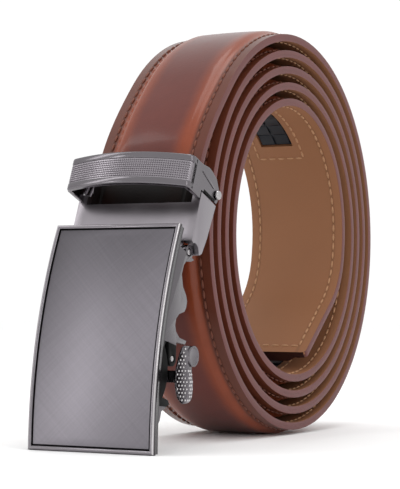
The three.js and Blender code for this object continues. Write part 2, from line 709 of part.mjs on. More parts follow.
const [leverPinY, leverPinZ] = leverPin();
addPiece('strap_leather', strapLeather(), LEATHER);
addPiece('strap_lining', strapLining(), LINING);
addPiece('ratchet_track', ratchetTrack(), BLACK_PLASTIC);
addPiece('face_frame', faceFrame(), GUNMETAL);
addPiece('face_inlay', faceInlay(), BRUSHED);
addPiece('buckle_base', buckleBase(), GUNMETAL);
addPiece('hinge_pin', rodX(HINGE_Y, HINGE_Z, PIN_RADIUS, -WALL_OUTSIDE, WALL_OUTSIDE), STEEL);
addPiece('lever_pin', rodX(leverPinY, leverPinZ, PIN_RADIUS, -WALL_OUTSIDE, WALL_OUTSIDE), STEEL);
addPiece('release_lever', releaseLever(), GUNMETAL);
addPiece('clamp_housing', clampHousing(), GUNMETAL);
addPiece('keeper_loop', keeperLoop(), GUNMETAL);
addPiece('clamp_jaw', clampJaw(), STEEL);
addPiece('jaw_rivet_right', rivet(1), STEEL);
addPiece('jaw_rivet_left', rivet(-1), STEEL);

// The origin is the middle of the footprint, on the surface that the belt stands on.
const box = new THREE.Box3().setFromObject(belt);
const middle = box.getCenter(new THREE.Vector3());
belt.position.set(-middle.x, -middle.y, -box.min.z);

export default belt;
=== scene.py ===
"""Looks of a ratchet belt: a coiled strap with its stitching and track, a slide buckle, and a stage."""

import json
import math
from contextlib import contextmanager

import bmesh
import bpy
from mathutils import Matrix, Vector

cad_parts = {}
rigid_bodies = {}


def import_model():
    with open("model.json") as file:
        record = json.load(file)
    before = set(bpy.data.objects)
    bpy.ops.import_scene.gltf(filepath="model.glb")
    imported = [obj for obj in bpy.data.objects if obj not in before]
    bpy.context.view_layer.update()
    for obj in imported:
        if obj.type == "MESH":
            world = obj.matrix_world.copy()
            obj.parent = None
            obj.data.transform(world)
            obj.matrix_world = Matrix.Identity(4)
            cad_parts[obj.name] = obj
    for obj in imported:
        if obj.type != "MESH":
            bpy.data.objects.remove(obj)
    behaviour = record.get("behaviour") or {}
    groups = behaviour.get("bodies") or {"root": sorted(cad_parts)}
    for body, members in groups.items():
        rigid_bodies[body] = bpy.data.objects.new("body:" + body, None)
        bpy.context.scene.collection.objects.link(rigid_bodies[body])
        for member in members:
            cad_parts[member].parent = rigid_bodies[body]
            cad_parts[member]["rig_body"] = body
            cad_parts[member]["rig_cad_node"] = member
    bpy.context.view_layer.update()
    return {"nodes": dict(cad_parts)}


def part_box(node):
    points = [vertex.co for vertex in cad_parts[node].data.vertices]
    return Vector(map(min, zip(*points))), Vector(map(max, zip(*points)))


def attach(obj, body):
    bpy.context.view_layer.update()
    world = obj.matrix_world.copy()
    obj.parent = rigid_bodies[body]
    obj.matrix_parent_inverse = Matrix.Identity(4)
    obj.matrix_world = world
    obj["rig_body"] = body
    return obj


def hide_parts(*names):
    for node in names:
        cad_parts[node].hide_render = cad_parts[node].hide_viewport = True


bl_info = {
    "name": "Ratchet Belt",
    "version": (1, 0, 0),
    "blender": (4, 5, 0),
    "location": "View3D > Sidebar > Belt",
    "description": "Builds the leather, thread and metal of a coiled ratchet belt round its fixed frame",
    "category": "Object",
}

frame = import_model()

MM = 0.001
STRAP_BODY = "strap_and_clamp"
BUCKLE_BODY = "buckle"
LEVER_BODY = "lever"
JAW_BODY = "jaw"

# Where the layout's zero lies in the frame: under the coil's centre, in the middle of the strap.
HINGE_LAYOUT = Vector((-78.5, 57.4)) * MM
STRAP_LOW, STRAP_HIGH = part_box("strap_leather")
HINGE_LOW, HINGE_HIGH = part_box("hinge_pin")
HINGE = (HINGE_LOW + HINGE_HIGH) / 2
ZERO = Vector((
    (STRAP_LOW.x + STRAP_HIGH.x) / 2,
    HINGE.y - HINGE_LAYOUT.x,
    HINGE.z - HINGE_LAYOUT.y,
))

# A flat piece lies along X with its outer side towards +Y and its width along Z, and is then bent and turned:
# its X and Y become the belt's Y and Z, and its Z the belt's X.
BENT_TO_BELT = Matrix((
    (0, 0, 1, ZERO.x),
    (1, 0, 0, ZERO.y),
    (0, 1, 0, ZERO.z),
    (0, 0, 0, 1),
))


def rgb(red, green, blue):
    """Screen values from 0 to 255 as the linear colour that a shader takes."""
    def linear(value):
        share = value / 255
        return share / 12.92 if share <= 0.04045 else ((share + 0.055) / 1.055) ** 2.4
    return tuple(linear(value) for value in (red, green, blue))


def length(name, description, default):
    return bpy.props.FloatProperty(
        name=name, description=description, default=default * MM, unit="LENGTH", precision=5)


def turned(name, description, default):
    return bpy.props.FloatProperty(
        name=name, description=description, default=math.radians(default), unit="ROTATION")


def amount(name, description, default):
    return bpy.props.FloatProperty(name=name, description=description, default=default)


def colour(name, description, default):
    return bpy.props.FloatVectorProperty(
        name=name, description=description, default=default, subtype="COLOR", size=3, min=0, max=1)


class StrapSettings(bpy.types.PropertyGroup):
    """Section, stitching and colours of the strap."""

    width: bpy.props.FloatProperty(
        name="Width", description="Width of the strap", default=STRAP_HIGH.x - STRAP_LOW.x, unit="LENGTH")
    lining: length("Lining", "Thickness of the lining", 1.1)
    edge: length("Edge", "Thickness of the strap at its edge", 2.4)
    middle: length("Middle", "Thickness of the padded middle, beside the crown", 3.7)
    crown: length("Crown", "Rise of the padded middle at its very centre", 0.35)
    margin: length("Margin", "Flat margin beside the padding", 4.2)
    shoulder: length("Shoulder", "Width of the slope up to the padding", 3.0)
    corner: length("Corner", "Rounding of the two corners at the tip", 1.4)
    rim: length("Rim", "Rounding of the painted edges", 0.55)
    ring: length("Ring step", "Length of one faceted step along the strap", 3.4)
    stitch_pitch: length("Stitch pitch", "Distance from one stitch to the next", 3.2)
    stitch_long: length("Stitch length", "Length of one stitch", 2.7)
    thread: length("Thread", "Thickness of the thread", 0.85)
    outer_row: length("Outer row", "Distance of the outer stitching from the edge", 3.3)
    inner_row: length("Inner row", "Distance of the lining's stitching from the edge", 3.3)
    window_row: length("Window row", "Distance of the window's own stitching from the window", 2.8)
    leather_dark: colour("Leather, middle", "Colour of the padded middle", rgb(92, 40, 32))
    leather_warm: colour("Leather, shoulders", "Colour beside the stitching", rgb(130, 60, 34))
    leather_margin: colour("Leather, margins", "Colour under the stitching", rgb(90, 45, 31))
    paint: colour("Edge paint", "Colour of the painted edges", rgb(106, 62, 60))
    tan: colour("Lining", "Colour of the lining leather", rgb(136, 92, 62))
    outer_thread: colour("Outer thread", "Colour of the thread on the outside", rgb(110, 62, 46))
    inner_thread: colour("Inner thread", "Colour of the thread on the lining", rgb(170, 128, 94))


class CoilSettings(bpy.types.PropertyGroup):
    """Route of the strap, the same as that of its solid."""

    inner_radius: length("Inner radius", "Radius where the innermost turn begins", 42.8)
    turn_pitch: length("Turn pitch", "Distance from one turn to the next", 5.27)
    free_turns: amount("Free turns", "Turns from the start to where the strap leaves the coil", 4.6333)
    first_angle: turned("First angle", "Angle where the innermost turn begins", 84)
    chord_angle: turned("Chord angle", "Step that sets the heading of the tip", 8)
    turn_step: turned("Turn step", "Step between two points of the route", 2)
    centre_height: length("Centre height", "Height of the coil's centre", 65.28)
    tip_spring_in: length("Tip spring", "How far the innermost turn springs in", 3.2)
    tip_bend_radius: length("Tip bend", "Radius of the bend before the tip", 25)
    tip_bend_angle: turned("Tip bend angle", "Angle of the bend before the tip", 46)
    tip_run: length("Tip run", "Straight run at the tip", 27.6)
    track_start: turned("Track start", "Angle where the track begins", 141)
    track_length: length("Track length", "Length of the track", 285)
    track_width: length("Track width", "Width of the track", 11.5)
    track_offset: length("Track offset", "Distance of the track from the strap's middle", -1.8)
    tooth_pitch: length("Tooth pitch", "Distance from one tooth to the next", 5)


class BuckleSettings(bpy.types.PropertyGroup):
    """Sizes and colours of the buckle's metal."""

    face_width: length("Face width", "Width of the face plate", 41.6)
    face_length: length("Face length", "Length of the face plate along its curve", 68)
    face_radius: length("Face radius", "Radius of the face plate's curve", 150)
    face_front: length("Face front", "Place of the face plate's foot in front of the coil's centre", -102.5)
    frame_depth: length("Frame depth", "Depth of the frame", 3.2)
    frame_rim: length("Frame rim", "Width of the frame's rim", 1.25)
    recess: length("Recess", "Depth of the recess in the frame", 2)
    inlay_front: length("Inlay front", "Depth of the inlay's front behind the rim", 0.5)
    inlay_back: length("Inlay back", "Depth of the inlay's back behind the rim", 1.7)
    gap: length("Gap", "Clearance between pieces", 0.3)
    lean: turned("Clamp lean", "Lean of the clamp from the upright", 22)
    clamp_mouth: length("Clamp mouth", "Place along the clamp where the strap goes in", 27)
    strap_grip: length("Strap grip", "Length of strap inside the clamp", 21.5)
    plate_back: length("Plate back", "Back of the clamp's front plate", 1.6)
    loop_start: length("Loop start", "Lower edge of the keeper loop", 16)
    loop_height: length("Loop height", "Height of the keeper loop", 10.3)
    loop_depth: length("Loop depth", "Depth of the keeper loop at its sides", 11.8)
    loop_bow: length("Loop bow", "How far the loop bows out in the middle", 3)
    loop_wall: length("Loop wall", "Thickness of the loop", 1.5)
    loop_corner: length("Loop corner", "Size of the loop's corners", 1.8)
    rail: length("Rail", "Width of the two polished rails on the loop", 2.1)
    knurl: length("Knurl", "Pitch of the fine squares on the loop", 0.68)
    gunmetal: colour("Gunmetal", "Colour of the plated metal", rgb(116, 112, 116))
    inlay: colour("Inlay", "Colour of the brushed inlay", rgb(128, 124, 130))
    steel: colour("Steel", "Colour of pins, rivets and jaw", rgb(168, 165, 166))
    # Near-black colour painted as shade into the frame's recess, the ear slots and the base's lower opening.
    painted_shade_tone: colour("Recess", "Colour of the blackened recesses", rgb(9, 9, 9))
    track: colour("Track", "Colour of the moulded track", rgb(13, 16, 24))


class StageSettings(bpy.types.PropertyGroup):
    """Floor, light and camera."""

    floor: colour("Floor", "Colour of the floor", rgb(252, 252, 252))
    light: amount("Light", "Strength of the surroundings", 1.03)
    camera: bpy.props.FloatVectorProperty(
        name="Camera", description="Camera's place in the layout", size=3, unit="LENGTH",
        default=(262.957 * MM, -538.183 * MM, 40.333 * MM))
    azimuth: turned("Azimuth", "Turn of the camera round the belt", 27.6)
    elevation: turned("Elevation", "Height angle of the camera", -2.13)
    roll: turned("Roll", "Roll of the camera", 0.38)
    lens: amount("Lens", "Focal length in millimetres", 131.48)


# Editing


def only(*objects):
    bpy.ops.object.select_all(action="DESELECT")
    for obj in objects:
        obj.select_set(True)
    bpy.context.view_layer.objects.active = objects[0]


@contextmanager
def editing(obj):
    only(obj)
    bpy.ops.object.mode_set(mode="EDIT")
    bpy.ops.mesh.select_all(action="DESELECT")
    yield
    bpy.ops.object.mode_set(mode="OBJECT")


def pick(obj, kind, test):
    """Selects the vertices, edges or faces that pass a test, in edit mode."""
    bpy.ops.mesh.select_mode(type=kind)
    bpy.ops.mesh.select_all(action="DESELECT")
    shape = bmesh.from_edit_mesh(obj.data)
    shape.normal_update()
    for item in {"VERT": shape.verts, "EDGE": shape.edges, "FACE": shape.faces}[kind]:
        if test(item):
            item.select_set(True)
    shape.select_flush_mode()
    bmesh.update_edit_mesh(obj.data)


def near(value, target, slack=0.02 * MM):
    return abs(value - target) < slack


def middle_of(edge):
    return (edge.verts[0].co + edge.verts[1].co) / 2


def runs(edge, axis):
    """Whether an edge runs straight along an axis."""
    step = edge.verts[1].co - edge.verts[0].co
    return abs(step[axis]) > 0.999 * step.length


def named(obj, name):
    obj.name = name
    obj.data.name = name
    return obj


def freeze(obj):
    only(obj)
    bpy.ops.object.transform_apply(location=True, rotation=True, scale=True)
    return obj


def block(name, low, high):
    """A box between two corners."""
    low, high = Vector(low), Vector(high)
    bpy.ops.object.select_all(action="DESELECT")
    bpy.ops.mesh.primitive_cube_add(size=1, location=(low + high) / 2)
    obj = bpy.context.object
    obj.scale = high - low
    return named(freeze(obj), name)


def round_bar(name, centre, radius, x_from, x_to, sides=28):
    """A round bar along X."""
    bpy.ops.object.select_all(action="DESELECT")
    bpy.ops.mesh.primitive_cylinder_add(
        vertices=sides, radius=radius, depth=x_to - x_from,
        location=((x_from + x_to) / 2, centre[0], centre[1]), rotation=(0, math.radians(90), 0))
    return named(freeze(bpy.context.object), name)


def face_outwards(obj):
    with editing(obj):
        bpy.ops.mesh.select_all(action="SELECT")
        bpy.ops.mesh.normals_make_consistent(inside=False)
    return obj


def plate(name, outline, thickness):
    """A plate of a thickness along +Z, its foot cut to an outline of (x, y) points."""
    bpy.ops.object.select_all(action="DESELECT")
    bpy.ops.mesh.primitive_circle_add(vertices=len(outline), radius=1, fill_type="NGON")
    obj = named(bpy.context.object, name)
    with editing(obj):
        for index, (x, y) in enumerate(outline):
            pick(obj, "VERT", lambda vert: vert.index == index)
            place = obj.data.vertices[index].co
            bpy.ops.transform.translate(value=(x - place.x, y - place.y, 0))
        bpy.ops.mesh.select_all(action="SELECT")
        bpy.ops.mesh.extrude_region_move(TRANSFORM_OT_translate={"value": (0, 0, thickness)})
    return face_outwards(obj)


def modify(obj, kind, **values):
    """Adds a modifier with its values, and applies it."""
    only(obj)
    modifier = obj.modifiers.new(kind.title(), kind)
    for name, value in values.items():
        setattr(modifier, name, value)
    bpy.ops.object.modifier_apply(modifier=modifier.name)
    return obj


def bevel_edges(obj, test, width, segments=2):
    with editing(obj):
        pick(obj, "EDGE", test)
        bpy.ops.mesh.bevel(offset=width, segments=segments, affect="EDGES", clamp_overlap=True)


def soften(obj, width, segments=2, angle=35):
    """Breaks every sharp edge of a finished piece."""
    return modify(
        obj, "BEVEL", width=width, segments=segments, limit_method="ANGLE",
        angle_limit=math.radians(angle), use_clamp_overlap=True)


def smooth_faces(obj, angle=35):
    only(obj)
    bpy.ops.object.shade_smooth_by_angle(angle=math.radians(angle))


def cut_across(obj, axis, places):
    """Cuts a piece by planes across an axis."""
    direction = Vector((0, 0, 0))
    direction[axis] = 1
    with editing(obj):
        for place in places:
            bpy.ops.mesh.select_all(action="SELECT")
            bpy.ops.mesh.bisect(plane_co=direction * place, plane_no=direction)


def cut_lengthwise(obj, step):
    """Cuts the long edges of a straight piece into steps of about one length."""
    most_cuts = 30

    def run(edge):
        return abs(edge.verts[1].co.x - edge.verts[0].co.x) if runs(edge, 0) else 0

    with editing(obj):
        while True:
            longest = max(run(edge) for edge in bmesh.from_edit_mesh(obj.data).edges)
            cuts = min(round(longest / step) - 1, most_cuts)
            if cuts < 1:
                break
            pick(obj, "EDGE", lambda edge: run(edge) > 0.7 * longest)
            bpy.ops.mesh.subdivide(number_cuts=cuts)


def blend(weights, places):
    """The weighted sum of some (x, y) places."""
    return tuple(sum(w * place[axis] for w, place in zip(weights, places)) for axis in (0, 1))


def keep_flat_place(obj):
    """Stores where each point of a flat piece lies, for its patterns."""
    places = [value for vert in obj.data.vertices for value in vert.co]
    attribute = obj.data.attributes.new("flat", "FLOAT_VECTOR", "POINT")
    attribute.data.foreach_set("vector", places)


def rounded(corners, steps):
    """A closed outline through some corners, with smooth curves between them."""
    outline = []
    count = len(corners)
    for index in range(count):
        before, start, end, after = (corners[(index + shift) % count] for shift in (-1, 0, 1, 2))
        for step in range(steps):
            t = step / steps
            outline.append(tuple(
                0.5 * (2 * start[axis] + (end[axis] - before[axis]) * t
                       + (2 * before[axis] - 5 * start[axis] + 4 * end[axis] - after[axis]) * t * t
                       + (3 * start[axis] - before[axis] - 3 * end[axis] + after[axis]) * t ** 3)
                for axis in (0, 1)))
    return outline


def joined(first, *others):
    only(first, *others)
    bpy.ops.object.join()
    return first


def row_of(obj, count, step):
    """One object of many copies in a row."""
    return modify(
        obj, "ARRAY", count=count, use_relative_offset=False,
        use_constant_offset=True, constant_offset_displace=step)


def bend_along(obj, points):
    """Bends a flat piece along a route of (x, y) points, starting at its X of zero."""
    data = bpy.data.curves.new("route", "CURVE")
    data.dimensions = "2D"
    data.use_deform_bounds = False
    spline = data.splines.new("POLY")
    spline.points.add(len(points) - 1)
    for point, (x, y) in zip(spline.points, points):
        point.co = (x, y, 0, 1)
    route = bpy.data.objects.new("route", data)
    bpy.context.scene.collection.objects.link(route)
    modify(obj, "CURVE", object=route, deform_axis="POS_X")
    bpy.data.objects.remove(route)
    return obj


def settle(obj, matrix):
    obj.matrix_world = matrix
    return freeze(obj)


def cad_copy(node, name, edge_width, segments=2):
    """A copy of a CAD node with its edges broken."""
    only(frame["nodes"][node])
    bpy.ops.object.duplicate()
    obj = named(bpy.context.object, name)
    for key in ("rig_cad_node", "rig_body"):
        del obj[key]
    obj.parent = None
    with editing(obj):
        bpy.ops.mesh.select_all(action="SELECT")
        bpy.ops.mesh.remove_doubles(threshold=0.005 * MM)
        bpy.ops.mesh.dissolve_limited(angle_limit=math.radians(1))
    return soften(obj, edge_width, segments)


def finished(obj, name, body, slot, finishes, *nodes, angle=35):
    """Names a piece, gives it its finishes, and ties it to its body and the nodes that it stands for."""
    named(obj, name)
    indices = [polygon.material_index for polygon in obj.data.polygons]
    obj.data.materials.clear()
    for finish in finishes:
        obj.data.materials.append(finish)
    obj.data.polygons.foreach_set("material_index", [min(i, len(finishes) - 1) for i in indices])
    smooth_faces(obj, angle)
    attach(obj, body)
    if nodes:
        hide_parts(*nodes)
    return obj


# Shader maths


class Value:
    """A number that varies over a surface, with arithmetic written as Python."""

    def __init__(self, finish, socket):
        self.finish = finish
        self.socket = socket

    def maths(self, operation, *others):
        return self.finish.node("ShaderNodeMath", {"operation": operation}, dict(enumerate((self, *others))))

    def __add__(self, other):
        return self.maths("ADD", other)

    __radd__ = __add__

    def __mul__(self, other):
        return self.maths("MULTIPLY", other)

    __rmul__ = __mul__

    def __sub__(self, other):
        return self.maths("SUBTRACT", other)

    def __rsub__(self, other):
        return self.finish.node("ShaderNodeMath", {"operation": "SUBTRACT"}, {0: other, 1: self})

    def __abs__(self):
        return self.maths("ABSOLUTE")

    def step(self, low, high):
        """Rises smoothly from 0 at low to 1 at high."""
        return self.finish.node(
            "ShaderNodeMapRange", {"interpolation_type": "SMOOTHSTEP"},
            {"Value": self, "From Min": low, "From Max": high, "To Min": 0.0, "To Max": 1.0})


class Finish:
    """A material under construction."""

    def __init__(self, name, **constants):
        self.material = bpy.data.materials.new(name)
        self.material.use_nodes = True
        self.tree = self.material.node_tree
        self.shader = next(node for node in self.tree.nodes if node.type == "BSDF_PRINCIPLED")
        for socket, value in constants.items():
            self.shader.inputs[socket.replace("_", " ").title().replace("Ior", "IOR")].default_value = value

    def put(self, socket, value):
        if isinstance(value, Value):
            self.tree.links.new(value.socket, socket)
        elif socket.type == "RGBA":
            socket.default_value = (*value, 1)
        else:
            socket.default_value = value

    def node(self, kind, settings, inputs, output=0):
        made = self.tree.nodes.new(kind)
        for name, value in settings.items():
            setattr(made, name, value)
        for name, value in inputs.items():
            self.put(made.inputs[name], value)
        return Value(self, made.outputs[output])

    def attribute(self, name):
        return self.node("ShaderNodeAttribute", {"attribute_name": name}, {}, "Vector")

    def place(self):
        return self.node("ShaderNodeTexCoord", {}, {}, "Object")

    def parts(self, vector):
        return [self.node("ShaderNodeSeparateXYZ", {}, {"Vector": vector}, axis) for axis in "XYZ"]

    def vector(self, x, y, z):
        return self.node("ShaderNodeCombineXYZ", {}, {"X": x, "Y": y, "Z": z})

    def noise(self, vector, scale, detail=2.0, roughness=0.5):
        return self.node(
            "ShaderNodeTexNoise", {},
            {"Vector": vector, "Scale": scale, "Detail": detail, "Roughness": roughness}, "Fac")

    def cells(self, vector, scale):
        return self.node("ShaderNodeTexVoronoi", {}, {"Vector": vector, "Scale": scale}, "Distance")

    def mix(self, share, first, second):
        return self.node(
            "ShaderNodeMix", {"data_type": "RGBA", "clamp_factor": True},
            {0: share, 6: first, 7: second}, 2)

    def shade(self, tone, share):
        """A colour made darker or lighter by a share."""
        return self.node("ShaderNodeVectorMath", {"operation": "SCALE"}, {0: tone, "Scale": share})

    def bump(self, height, strength, distance):
        return self.node(
            "ShaderNodeBump", {}, {"Height": height, "Strength": strength, "Distance": distance})

    def surface(self, **values):
        for name, value in values.items():
            self.put(self.shader.inputs[name.replace("_", " ").title()], value)
        return self.material


def leather_finish(strap):
    finish = Finish("glossy_leather", roughness=0.3, coat_roughness=0.13, specular_ior_level=0.2)
    flat = finish.attribute("flat")
    along, _, across = finish.parts(flat)
    half = strap.width / 2
    from_edge = half - abs(across)
    cloud = finish.noise(flat, scale=38, detail=3)
    drift = from_edge + (cloud - 0.5) * 4 * MM
    warmth = 1 - drift.step(strap.margin + strap.shoulder * 0.5, strap.margin + strap.shoulder * 2.4)
    tone = finish.mix(warmth, strap.leather_dark, strap.leather_warm)
    inside = from_edge.step(strap.margin - 0.5 * MM, strap.margin + 0.9 * MM)
    tone = finish.mix(inside, strap.leather_margin, tone)
    mottle = finish.noise(flat, scale=160, detail=4, roughness=0.6)
    tone = finish.shade(tone, 0.78 + mottle * 0.3 + cloud * 0.16)
    groove = 1 - abs(from_edge - strap.outer_row).step(0.1 * MM, 0.7 * MM)
    # Painted shade: the leather is darkened almost to black, and loses its coat, where it runs into the
    # clamp's shadow.
    lit_from, dark_until = 26 * MM, 17 * MM
    clamp_painted_shade = along.step(lit_from, dark_until)
    tone = finish.shade(tone, (1 - groove * 0.35) * (1 - clamp_painted_shade * 0.98))
    pores = finish.cells(flat, scale=1500)
    grain = finish.noise(flat, scale=900, detail=3, roughness=0.6)
    height = pores * 0.5 + grain * 0.6 - groove * 2.2
    return finish.surface(
        base_color=tone,
        roughness=0.27 + mottle * 0.12 + groove * 0.2,
        coat_weight=(0.25 - groove * 0.25) * (1 - clamp_painted_shade),
        normal=finish.bump(height, strength=0.22, distance=0.12 * MM))


def paint_finish(strap, end):
    finish = Finish("edge_paint", roughness=0.4, specular_ior_level=0.2)
    flat = finish.attribute("flat")
    along, up, across = finish.parts(flat)
    drawn_out = finish.vector(along * 60, up * 900, across * 0.1)
    streaks = finish.noise(drawn_out, scale=1, detail=3)
    cloud = finish.noise(flat, scale=90)
    # Painted shade: the tip's end face is darkened as if in shadow.
    tip_painted_shade = along.step(end - 0.7 * MM, end - 0.1 * MM)
    tone = finish.shade(strap.paint, (0.6 + streaks * 0.3 + cloud * 0.26) * (1 - tip_painted_shade * 0.8))
    return finish.surface(
        base_color=tone,
        roughness=0.34 + streaks * 0.14,
        normal=finish.bump(streaks, strength=0.25, distance=0.1 * MM))


def lining_finish(strap):
    finish = Finish("lining_leather", roughness=0.6, specular_ior_level=0.3)
    flat = finish.attribute("flat")
    _, _, across = finish.parts(flat)
    from_edge = strap.width / 2 - abs(across)
    cloud = finish.noise(flat, scale=30, detail=3)
    suede = finish.noise(flat, scale=1400, detail=4, roughness=0.65)
    tone = finish.shade(strap.tan, 0.84 + cloud * 0.2 + suede * 0.14)
    groove = 1 - abs(from_edge - strap.inner_row).step(0.15 * MM, 0.9 * MM)
    tone = finish.shade(tone, 1 - groove * 0.2)
    return finish.surface(
        base_color=tone,
        roughness=0.52 + suede * 0.2,
        normal=finish.bump(suede * 0.7 - groove * 2, strength=0.25, distance=0.12 * MM))


def thread_finish(name, shade):
    finish = Finish(name, roughness=0.55, specular_ior_level=0.3)
    place = finish.place()
    fibres = finish.noise(place, scale=2600)
    tone = finish.shade(shade, 0.7 + fibres * 0.6)
    return finish.surface(
        base_color=tone,
        roughness=0.45 + fibres * 0.2,
        normal=finish.bump(fibres, strength=0.4, distance=0.08 * MM))


def metal_finish(name, shade, roughness=0.2, uneven=0.12, brightness=1.0):
    finish = Finish(name, metallic=1.0)
    place = finish.place()
    cloud = finish.noise(place, scale=120)
    specks = finish.noise(place, scale=2200)
    tone = finish.shade(shade, (0.9 + cloud * 0.2) * brightness)
    return finish.surface(
        base_color=tone,
        roughness=roughness + cloud * uneven,
        normal=finish.bump(specks, strength=0.06, distance=0.02 * MM))


def inlay_finish(buckle):
    """Brushed on the slant in two directions, with painted shade darkest at the upper left and lighter at the
    lower right.
    """
    finish = Finish("brushed_inlay", metallic=1.0)
    flat = finish.attribute("flat")
    along, _, across = finish.parts(flat)
    rising = along * 0.72 + across * 0.69
    falling = along * 0.72 - across * 0.69
    stretched, fine = 30, 1500
    strokes = [
        finish.noise(finish.vector(rising * by, falling * over, layer), scale=1, detail=4, roughness=0.65)
        for by, over, layer in ((stretched, fine, 0), (fine, stretched, 3))]
    weave = (strokes[0] + strokes[1]) * 0.5
    # Painted shade across the inlay: darkest at the upper left, darker at the lower right, brightest between.
    slant = along * 0.8 - across * 0.6
    upper_left = slant.step(14 * MM, 60 * MM)
    lower_right_shade = 1 - slant.step(-14 * MM, 16 * MM)
    inlay_painted_shade = upper_left * 0.74 + lower_right_shade * 0.3
    tone = finish.shade(buckle.inlay, (1.16 - inlay_painted_shade) * (0.72 + weave * 0.56))
    return finish.surface(
        base_color=tone,
        roughness=0.3 + weave * 0.16,
        normal=finish.bump(weave, strength=0.25, distance=0.03 * MM))


def plastic_finish(shade):
    finish = Finish("moulded_plastic", roughness=0.42, specular_ior_level=0.22)
    place = finish.place()
    cloud = finish.noise(place, scale=140, detail=3)
    grain = finish.noise(place, scale=1800)
    return finish.surface(
        base_color=finish.shade(shade, 0.7 + cloud * 0.6),
        roughness=0.36 + cloud * 0.16,
        normal=finish.bump(grain, strength=0.15, distance=0.05 * MM))


# Near-black finish for painted shade: recesses, gaps and openings are coloured dark in place of their shadow.
def shade_black_finish(shade):
    finish = Finish("painted_shade_black", specular_ior_level=0.15)
    cloud = finish.noise(finish.place(), scale=150)
    return finish.surface(
        base_color=finish.shade(shade, 0.8 + cloud * 0.4),
        roughness=0.6 + cloud * 0.1)


def floor_finish(shade):
    finish = Finish("floor", roughness=0.7, specular_ior_level=0.2)
    cloud = finish.noise(finish.place(), scale=3)
    return finish.surface(base_color=finish.shade(shade, 0.99 + cloud * 0.02))


# Routes and places


def smooth_share(share):
    share = min(max(share, 0), 1)
    return share * share * (3 - 2 * share)


def clamp_point(buckle, along, out):
    """A point of the clamp in the layout, along and out from its hinge."""
    up_y, up_z = math.sin(buckle.lean), math.cos(buckle.lean)
    return (HINGE_LAYOUT.x + along * up_y - out * up_z, HINGE_LAYOUT.y + along * up_z + out * up_y)


def coil_point(coil, strap, angle):
    spring_until, spring_over = math.radians(180), math.radians(110)
    springing = smooth_share((spring_until - angle) / spring_over)
    spiral = coil.inner_radius + coil.turn_pitch * angle / math.tau
    radius = spiral - strap.edge - coil.tip_spring_in * springing
    return (radius * math.sin(angle), coil.centre_height - radius * math.cos(angle))


def bridge_points(start, leaving, end, arriving, steps):
    """Points of the smooth curve between two places, without its ends."""
    reach = math.dist(start, end) / 3
    second = (start[0] + leaving[0] * reach, start[1] + leaving[1] * reach)
    third = (end[0] - arriving[0] * reach, end[1] - arriving[1] * reach)
    points = []
    for index in range(1, steps):
        t = index / steps
        weights = ((1 - t) ** 3, 3 * t * (1 - t) ** 2, 3 * t * t * (1 - t), t ** 3)
        points.append(blend(weights, (start, second, third, end)))
    return points


def tip_points(coil, strap):
    """Points of the tip, from the coil's first point outwards."""
    start = coil_point(coil, strap, coil.first_angle)
    following = coil_point(coil, strap, coil.first_angle + coil.chord_angle)
    heading = math.atan2(following[0] - start[0], following[1] - start[1])
    steps, straight_steps = 16, 6
    turn = coil.tip_bend_angle / steps
    y, z = start
    points = []
    for _ in range(steps):
        heading += turn
        y -= coil.tip_bend_radius * turn * math.sin(heading - turn / 2)
        z -= coil.tip_bend_radius * turn * math.cos(heading - turn / 2)
        points.append((y, z))
    runs_to = [step * coil.tip_run / straight_steps for step in range(1, straight_steps + 1)]
    return points + [(y - run * math.sin(heading), z - run * math.cos(heading)) for run in runs_to]


def strap_route(coil, strap, buckle):
    """Points along the lining's face from the clamp to the tip, and the length to the track's end of it."""
    grip = buckle.plate_back - buckle.gap - strap.edge
    mouth = clamp_point(buckle, buckle.clamp_mouth, grip)
    held = clamp_point(buckle, buckle.clamp_mouth - buckle.strap_grip, grip)
    last = coil.free_turns * math.tau
    steps = round((last - coil.first_angle) / coil.turn_step)
    angles = [last + (coil.first_angle - last) * index / steps for index in range(steps + 1)]
    turns = [coil_point(coil, strap, angle) for angle in angles]
    run = math.dist(turns[0], turns[1])
    leaving = ((turns[0][0] - turns[1][0]) / run, (turns[0][1] - turns[1][1]) / run)
    down = (-math.sin(buckle.lean), -math.cos(buckle.lean))
    bridge = bridge_points(turns[0], leaving, mouth, down, steps=24)
    points = [held, mouth, *reversed(bridge), *turns, *tip_points(coil, strap)]
    before_coil = 2 + len(bridge)
    until = before_coil + sum(1 for angle in angles if angle >= coil.track_start)
    track_end = sum(math.dist(points[i], points[i + 1]) for i in range(until - 1))
    return points, track_end


def route_length(points):
    return sum(math.dist(a, b) for a, b in zip(points, points[1:]))


def face_route(buckle):
    """Points up the front of the curved face plate."""
    steps = 70
    points = []
    for index in range(steps + 1):
        angle = (buckle.face_length * index / steps) / buckle.face_radius
        points.append((
            buckle.face_front + buckle.face_radius * (1 - math.cos(angle)),
            buckle.face_radius * math.sin(angle),
        ))
    return points


def face_point(buckle, along, inward):
    angle = along / buckle.face_radius
    reach = buckle.face_radius - inward
    return (buckle.face_front + buckle.face_radius - reach * math.cos(angle), reach * math.sin(angle))


def clamp_matrix(buckle):
    """Turns a piece drawn upright, its front towards -Y and its foot at the hinge, to the clamp's lean."""
    middle = Vector((ZERO.x, HINGE.y, HINGE.z))
    return Matrix.Translation(middle) @ Matrix.Rotation(-buckle.lean, 4, "X")


def settings():
    scene = bpy.context.scene
    return scene.belt_strap, scene.belt_coil, scene.belt_buckle


# Strap


def strap_rise(strap, from_edge):
    """Rise of the padded middle at a distance from the strap's edge."""
    half = strap.width / 2
    slope = smooth_share((from_edge - strap.margin) / strap.shoulder)
    inner = min(max((from_edge - strap.margin) / (half - strap.margin), 0), 1)
    return slope * (strap.middle - strap.edge) + strap.crown * (1 - (1 - inner) ** 2) * slope


def round_tip(obj, strap, end):
    bevel_edges(
        obj, lambda edge: runs(edge, 1) and near(middle_of(edge).x, end), strap.corner, 4)


def edge_on(polygon):
    """Whether a face of the flat strap lies on its painted edge."""
    return abs(polygon.normal.z) > 0.6 or abs(polygon.normal.x) > 0.9


